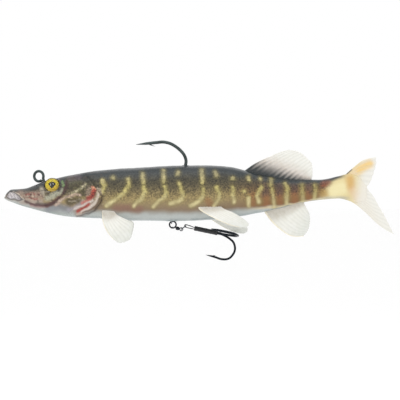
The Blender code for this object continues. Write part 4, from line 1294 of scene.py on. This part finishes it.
def build_hook(settings):
    """The jig hook: one wire from the line tie round its ring, down the shank and round the
    bend to the point, and the cut barb. The lead and its hanger keep their frame shapes."""
    turn = np.radians(np.linspace(RING_START_DEG, RING_END_DEG, 140))
    ring = np.column_stack([RING_HALF_MM[0] * np.cos(turn), RING_HALF_MM[1] * np.sin(turn)])
    path = in_plane(np.vstack([ring, smooth_path(HOOK_SHANK_MM, 22)]))
    run = run_of(path)
    gauge = np.interp(run, [0, 14.0, 22.0], [RING_WIRE_R_MM, RING_WIRE_R_MM, HOOK_WIRE_R_MM])
    gauge = pointed(path, gauge, HOOK_POINT_MM)
    material = smoked_nickel(settings)
    hook = wire(path, ACROSS, gauge, settings.sides)
    barb_path = in_plane(smooth_path(BARB_MM))
    barb = wire(barb_path, ACROSS, np.linspace(BARB_R_MM, BARB_TIP_MM, len(barb_path)), 16,
                flat=BARB_FLAT)
    points, faces = join(hook, barb)
    piece = add_piece("jig_hook_wire", points, faces, material)
    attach(piece, "body_front")
    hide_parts("jig_hook")
    lead = plated_metal("cast_lead", linear("#6E6F73"), 0.45, 0.7, 0.004, 0.0015)
    steel = plated_metal("spring_steel", settings.steel, 0.2, 0.34, 0.002, 0.0005)
    for node, metal in (("lead_weight", lead), ("belly_hanger", steel)):
        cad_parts[node].material_slots[0].material = metal


def split_ring(centre, normal, radius, wire_mm, start_deg, sides):
    """A split ring: flat wire wound twice, each turn stepping one wire across where it
    passes the start."""
    turn = np.linspace(0, 4 * math.pi, 241)
    normal = unit(normal)
    side, other = square_to(normal)
    angle = turn + math.radians(start_deg)
    radial = np.cos(angle)[:, None] * side + np.sin(angle)[:, None] * other
    step = smoothstep(1.75 * math.pi, 2.25 * math.pi, turn) - 0.5
    path = np.asarray(centre) + radius * radial + (RING_COIL_STEP_MM * step)[:, None] * normal
    turn_round = np.arange(sides) * 2 * math.pi / sides
    taper = np.interp(
        turn, [0, RING_COIL_FADE, turn[-1] - RING_COIL_FADE, turn[-1]], [0.35, 1, 1, 0.35])
    ring = (np.cos(turn_round)[:, None] * -radial[:, None] * 1.15
            + np.sin(turn_round)[:, None] * normal * 0.68)
    points = path[:, None] + wire_mm * taper[:, None, None] * ring
    faces = tube_faces(len(path), sides)
    points = points.reshape(-1, 3)
    return points, facing(points, faces)


def build_rings(settings):
    front_start, front_end = in_plane(LINK_A_MM), in_plane(LINK_B_MM)
    rear_start, rear_end = in_plane(LINK_C_MM), in_plane(LINK_D_MM)
    rise = unit(rear_end - rear_start)
    nickel = black_nickel(settings)
    steel = plated_metal("ring_steel", settings.steel, 0.15, 0.3, 0.002, 0.0005)
    rows = (
        ("front", (front_start + front_end) / 2, ACROSS, FRONT_RING_R_MM,
         FRONT_RING_WIRE_MM, 70.0, nickel, "front_ring", "black_nickel"),
        ("rear", (rear_start + rear_end) / 2, np.cross(rise, ACROSS), REAR_RING_R_MM,
         REAR_RING_WIRE_MM, 200.0, steel, "rear_ring", "steel_wire"),
    )
    for word, centre, normal, radius, wire_mm, start, metal, body, slot in rows:
        points, faces = split_ring(centre, normal, radius, wire_mm, start, 20)
        ring = add_piece(f"split_ring_{word}_coil", points, faces, metal)
        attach(ring, body)
        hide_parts(f"split_ring_{word}")


def build_swivel(settings):
    """Barrel with rolled shoulders and two wire eyes, each with its neck and headed pin."""
    start, end = in_plane(LINK_B_MM), in_plane(LINK_C_MM)
    along = unit(end - start)
    middle, half = (start + end) / 2, BARREL_LENGTH_MM / 2
    turn = np.linspace(0, math.pi / 2, 12)
    shoulder = np.stack([half - SHOULDER_MM + SHOULDER_MM * np.sin(turn),
                         BARREL_R_MM - 0.45 * (1 - np.cos(turn))], axis=1)
    belly = [(p, BARREL_R_MM - 0.05 * math.cos(p * 9) ** 2) for p in np.linspace(-0.4, 0.4, 17)]
    mouth, hollow, wall = BARREL_MOUTH_MM, BARREL_HOLLOW_MM, half - 0.3
    profile = [(-half, mouth), *(shoulder[::-1] * (-1, 1)), *belly, *shoulder, (half, mouth),
               (wall, mouth), (wall, hollow), (-wall, hollow), (-wall, mouth)]
    points, faces = turned(profile, middle, along, 40, closed=True)
    barrel = add_piece("swivel_barrel_shell", points, facing(points, faces),
                       black_nickel(settings))
    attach(barrel, "barrel")
    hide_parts("swivel_barrel")
    steel = plated_metal("swivel_steel", settings.steel, 0.15, 0.3, 0.002, 0.0005)
    for node, way, normal in (("swivel_front_eye", -1, np.cross(along, ACROSS)),
                              ("swivel_rear_eye", 1, ACROSS)):
        link = start if way < 0 else end
        loop = wire(circle(link, normal, SWIVEL_EYE_R_MM, 64), normal, SWIVEL_WIRE_MM, 14,
                    closed=True)
        inside = half - SHOULDER_MM
        reach = np.linalg.norm(link - middle) - SWIVEL_EYE_R_MM
        pin = turned([(inside - 0.25, 0.42), (inside - 0.22, 0.5), (inside - 0.03, 0.5),
                      (inside, 0.42), (inside + 0.02, 0.22), (reach - 0.1, 0.22),
                      (reach + 0.05, 0.26), (reach + 0.12, 0.1)], middle, way * along, 20)
        points, faces = join(loop, pin)
        eye = add_piece(node + "_wire", points, faces, steel)
        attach(eye, "swivel")
        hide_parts(node)


def build_treble(settings):
    """Three bent wires brazed to one shank, a wire eye, and a shrunk sleeve with lobes where
    it lies over the wires."""
    link, start, end = in_plane(TREBLE_LINE_MM)
    along, reach = unit(end - start), unit(start - link)
    down, reach_down = unit(np.cross(ACROSS, along)), unit(np.cross(ACROSS, reach))
    size = np.linalg.norm(start - link)
    turn = np.radians(np.linspace(90, 270, 24))[:, None]
    tip = link + TREBLE_EYE_R_MM * (np.cos(turn) * reach + np.sin(turn) * reach_down)
    foot = start + along * 1.4
    halfway = link + reach * size * 0.5
    upper = even_path([foot + down * 0.3, start + along * 0.1 + down * 0.4,
                       halfway + reach_down * TREBLE_EYE_R_MM * 0.95, tip[0]], 24)[:-1]
    lower = even_path([tip[-1], halfway - reach_down * TREBLE_EYE_R_MM * 0.95,
                       start + along * 0.1 - down * 0.4, foot - down * 0.3], 24)[1:]
    eye = wire(np.vstack([upper, tip, lower]), ACROSS, TREBLE_EYE_WIRE_MM, 16)
    shank = turned(TREBLE_SHANK_MM, start, along, 20)
    bends = []
    for turn_deg in TREBLE_SIDES_DEG:
        angle = math.radians(turn_deg)
        away = down * math.cos(angle) - ACROSS * math.sin(angle)
        curve = smooth_path(TREBLE_BEND_MM, 14)
        path = start + curve[:, :1] * along + curve[:, 1:] * away
        normal = np.cross(away, along)
        bends.append(wire(path, normal, pointed(path, TREBLE_WIRE_R_MM, TREBLE_POINT_MM), 20))
        barb = smooth_path(TREBLE_BARB_MM)
        barb = start + barb[:, :1] * along + barb[:, 1:] * away
        gauge = np.linspace(TREBLE_BARB_R_MM, TREBLE_BARB_TIP_MM, len(barb))
        bends.append(wire(barb, normal, gauge, 12, flat=BARB_FLAT))
    points, faces = join(eye, shank, *bends)
    treble = add_piece("treble_wires", points, faces, black_nickel(settings))
    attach(treble, "treble")
    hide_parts("treble_hook")
    first, last = SLEEVE_MM
    at = np.linspace(first + 0.25, last - 0.25, 60)
    outer = SLEEVE_R_MM - 0.06 + 0.03 * np.sin(at * 2.3) + 0.02 * np.sin(at * 5.1)
    lip = [(0.0, SLEEVE_BORE_MM), (0.0, SLEEVE_R_MM - 0.2), (0.08, SLEEVE_R_MM - 0.1)]
    profile = [*((first + step, radius) for step, radius in lip), *zip(at, outer),
               *((last - step, radius) for step, radius in lip[::-1])]
    points, faces = turned(profile, start, along, 48, closed=True,
                           lobes=lambda turn: 1 + 0.035 * np.cos(3 * turn))
    sleeve = add_piece("shrink_sleeve_skin", points, facing(points, faces),
                       shrink_tube(settings))
    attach(sleeve, "treble")
    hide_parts("shrink_sleeve")


# ---------------------------------------------------------------- stage

def add_light(name, place, target, size, power):
    """A square softbox at place that faces target."""
    light = bpy.data.lights.new(name, "AREA")
    light.size, light.energy = size, power
    obj = bpy.data.objects.new(name, light)
    bpy.context.scene.collection.objects.link(obj)
    obj.location = place
    way = Vector(target) - Vector(place)
    obj.rotation_euler = way.to_track_quat("-Z", "Y").to_euler()


def build_stage(settings):
    """Pale floor, white surroundings, softboxes and the camera, which looks square at the
    fish's left side."""
    low, high = CAD_BOX
    centre = (low + high) / 2
    floor_z = low.z - settings.floor_drop
    mesh = bpy.data.meshes.new("floor")
    corners = [(x * FLOOR_HALF, y * FLOOR_HALF, floor_z)
               for x, y in ((-1, -1), (1, -1), (1, 1), (-1, 1))]
    mesh.from_pydata(corners, [], [(0, 1, 2, 3)])
    mesh.materials.append(studio_board())
    floor = bpy.data.objects.new("floor", mesh)
    bpy.context.scene.collection.objects.link(floor)
    world = bpy.data.worlds.new("studio")
    world.use_nodes = True
    bpy.context.scene.world = world
    backdrop = world.node_tree.nodes["Background"]
    backdrop.inputs["Color"].default_value = (1.0, 1.0, 1.0, 1)
    backdrop.inputs["Strength"].default_value = 1.0
    middle = (centre.x, centre.y, centre.z)
    add_light("top_softbox", (centre.x - 0.05, -0.25, 0.6), middle, 0.5, settings.key_power)
    add_light("back_softbox", (centre.x + 0.1, 0.5, 0.5), middle, 0.5, settings.key_power * 0.6)
    camera = bpy.data.cameras.new("camera")
    camera.sensor_width = SENSOR_WIDTH_MM
    camera.lens = camera.sensor_width * settings.camera_distance / settings.view_width
    obj = bpy.data.objects.new("camera", camera)
    bpy.context.scene.collection.objects.link(obj)
    obj.location = (VIEW_CENTRE_MM[0] * MM, -settings.camera_distance, VIEW_CENTRE_MM[1] * MM)
    obj.rotation_euler = (math.pi / 2, 0.0, 0.0)
    bpy.context.scene.camera = obj
    bpy.context.scene.view_settings.view_transform = "Standard"


# ---------------------------------------------------------------- operators and panel

class SWIMBAIT_OT_skin(bpy.types.Operator):
    """Build the painted skin from nose to tail root"""
    bl_idname = "swimbait.skin"
    bl_label = "Skin"

    def execute(self, context):
        build_skin(context.scene.swimbait.skin)
        return {"FINISHED"}


class SWIMBAIT_OT_tail(bpy.types.Operator):
    """Build the tail's rayed lobes"""
    bl_idname = "swimbait.tail"
    bl_label = "Tail lobes"

    def execute(self, context):
        settings = context.scene.swimbait
        build_tail(settings.fins, settings.skin)
        return {"FINISHED"}


class SWIMBAIT_OT_fins(bpy.types.Operator):
    """Build the dorsal, anal, pectoral and pelvic fins"""
    bl_idname = "swimbait.fins"
    bl_label = "Fins"

    def execute(self, context):
        build_fins(context.scene.swimbait.fins)
        return {"FINISHED"}


class SWIMBAIT_OT_eyes(bpy.types.Operator):
    """Build the printed eyes and their clear domes"""
    bl_idname = "swimbait.eyes"
    bl_label = "Eyes"

    def execute(self, context):
        build_eyes(context.scene.swimbait.eyes)
        return {"FINISHED"}


class SWIMBAIT_OT_teeth(bpy.types.Operator):
    """Build the small teeth of the lower jaw"""
    bl_idname = "swimbait.teeth"
    bl_label = "Teeth"

    def execute(self, context):
        build_teeth()
        return {"FINISHED"}


class SWIMBAIT_OT_hook(bpy.types.Operator):
    """Build the jig hook and finish the lead and its hanger"""
    bl_idname = "swimbait.hook"
    bl_label = "Jig hook"

    def execute(self, context):
        build_hook(context.scene.swimbait.tackle)
        return {"FINISHED"}


class SWIMBAIT_OT_links(bpy.types.Operator):
    """Build the split rings and the swivel"""
    bl_idname = "swimbait.links"
    bl_label = "Rings and swivel"

    def execute(self, context):
        build_rings(context.scene.swimbait.tackle)
        build_swivel(context.scene.swimbait.tackle)
        return {"FINISHED"}


class SWIMBAIT_OT_treble(bpy.types.Operator):
    """Build the treble hook and its sleeve"""
    bl_idname = "swimbait.treble"
    bl_label = "Treble"

    def execute(self, context):
        build_treble(context.scene.swimbait.tackle)
        return {"FINISHED"}


class SWIMBAIT_OT_stage(bpy.types.Operator):
    """Build the floor, lights and camera"""
    bl_idname = "swimbait.stage"
    bl_label = "Stage"

    def execute(self, context):
        build_stage(context.scene.swimbait.stage)
        return {"FINISHED"}


OPERATORS = (
    SWIMBAIT_OT_skin, SWIMBAIT_OT_tail, SWIMBAIT_OT_fins, SWIMBAIT_OT_eyes, SWIMBAIT_OT_teeth,
    SWIMBAIT_OT_hook, SWIMBAIT_OT_links, SWIMBAIT_OT_treble, SWIMBAIT_OT_stage,
)


class SWIMBAIT_PT_sidebar(bpy.types.Panel):
    """Lists the builders of the swimbait's pieces"""
    bl_idname = "SWIMBAIT_PT_sidebar"
    bl_label = "Swimbait"
    bl_space_type = "VIEW_3D"
    bl_region_type = "UI"
    bl_category = "Swimbait"

    def draw(self, context):
        for operator in OPERATORS:
            self.layout.operator(operator.bl_idname)


SETTINGS = (SkinSettings, FinSettings, EyeSettings, TackleSettings, StageSettings,
            SwimbaitSettings)


def register():
    for one in (*SETTINGS, *OPERATORS, SWIMBAIT_PT_sidebar):
        bpy.utils.register_class(one)
    bpy.types.Scene.swimbait = PointerProperty(type=SwimbaitSettings)


def unregister():
    del bpy.types.Scene.swimbait
    for one in reversed((*SETTINGS, *OPERATORS, SWIMBAIT_PT_sidebar)):
        bpy.utils.unregister_class(one)


def main():
    register()
    for operator in OPERATORS:
        name = operator.bl_idname.split(".")[1]
        getattr(bpy.ops.swimbait, name)()


if __name__ == "__main__":
    main()
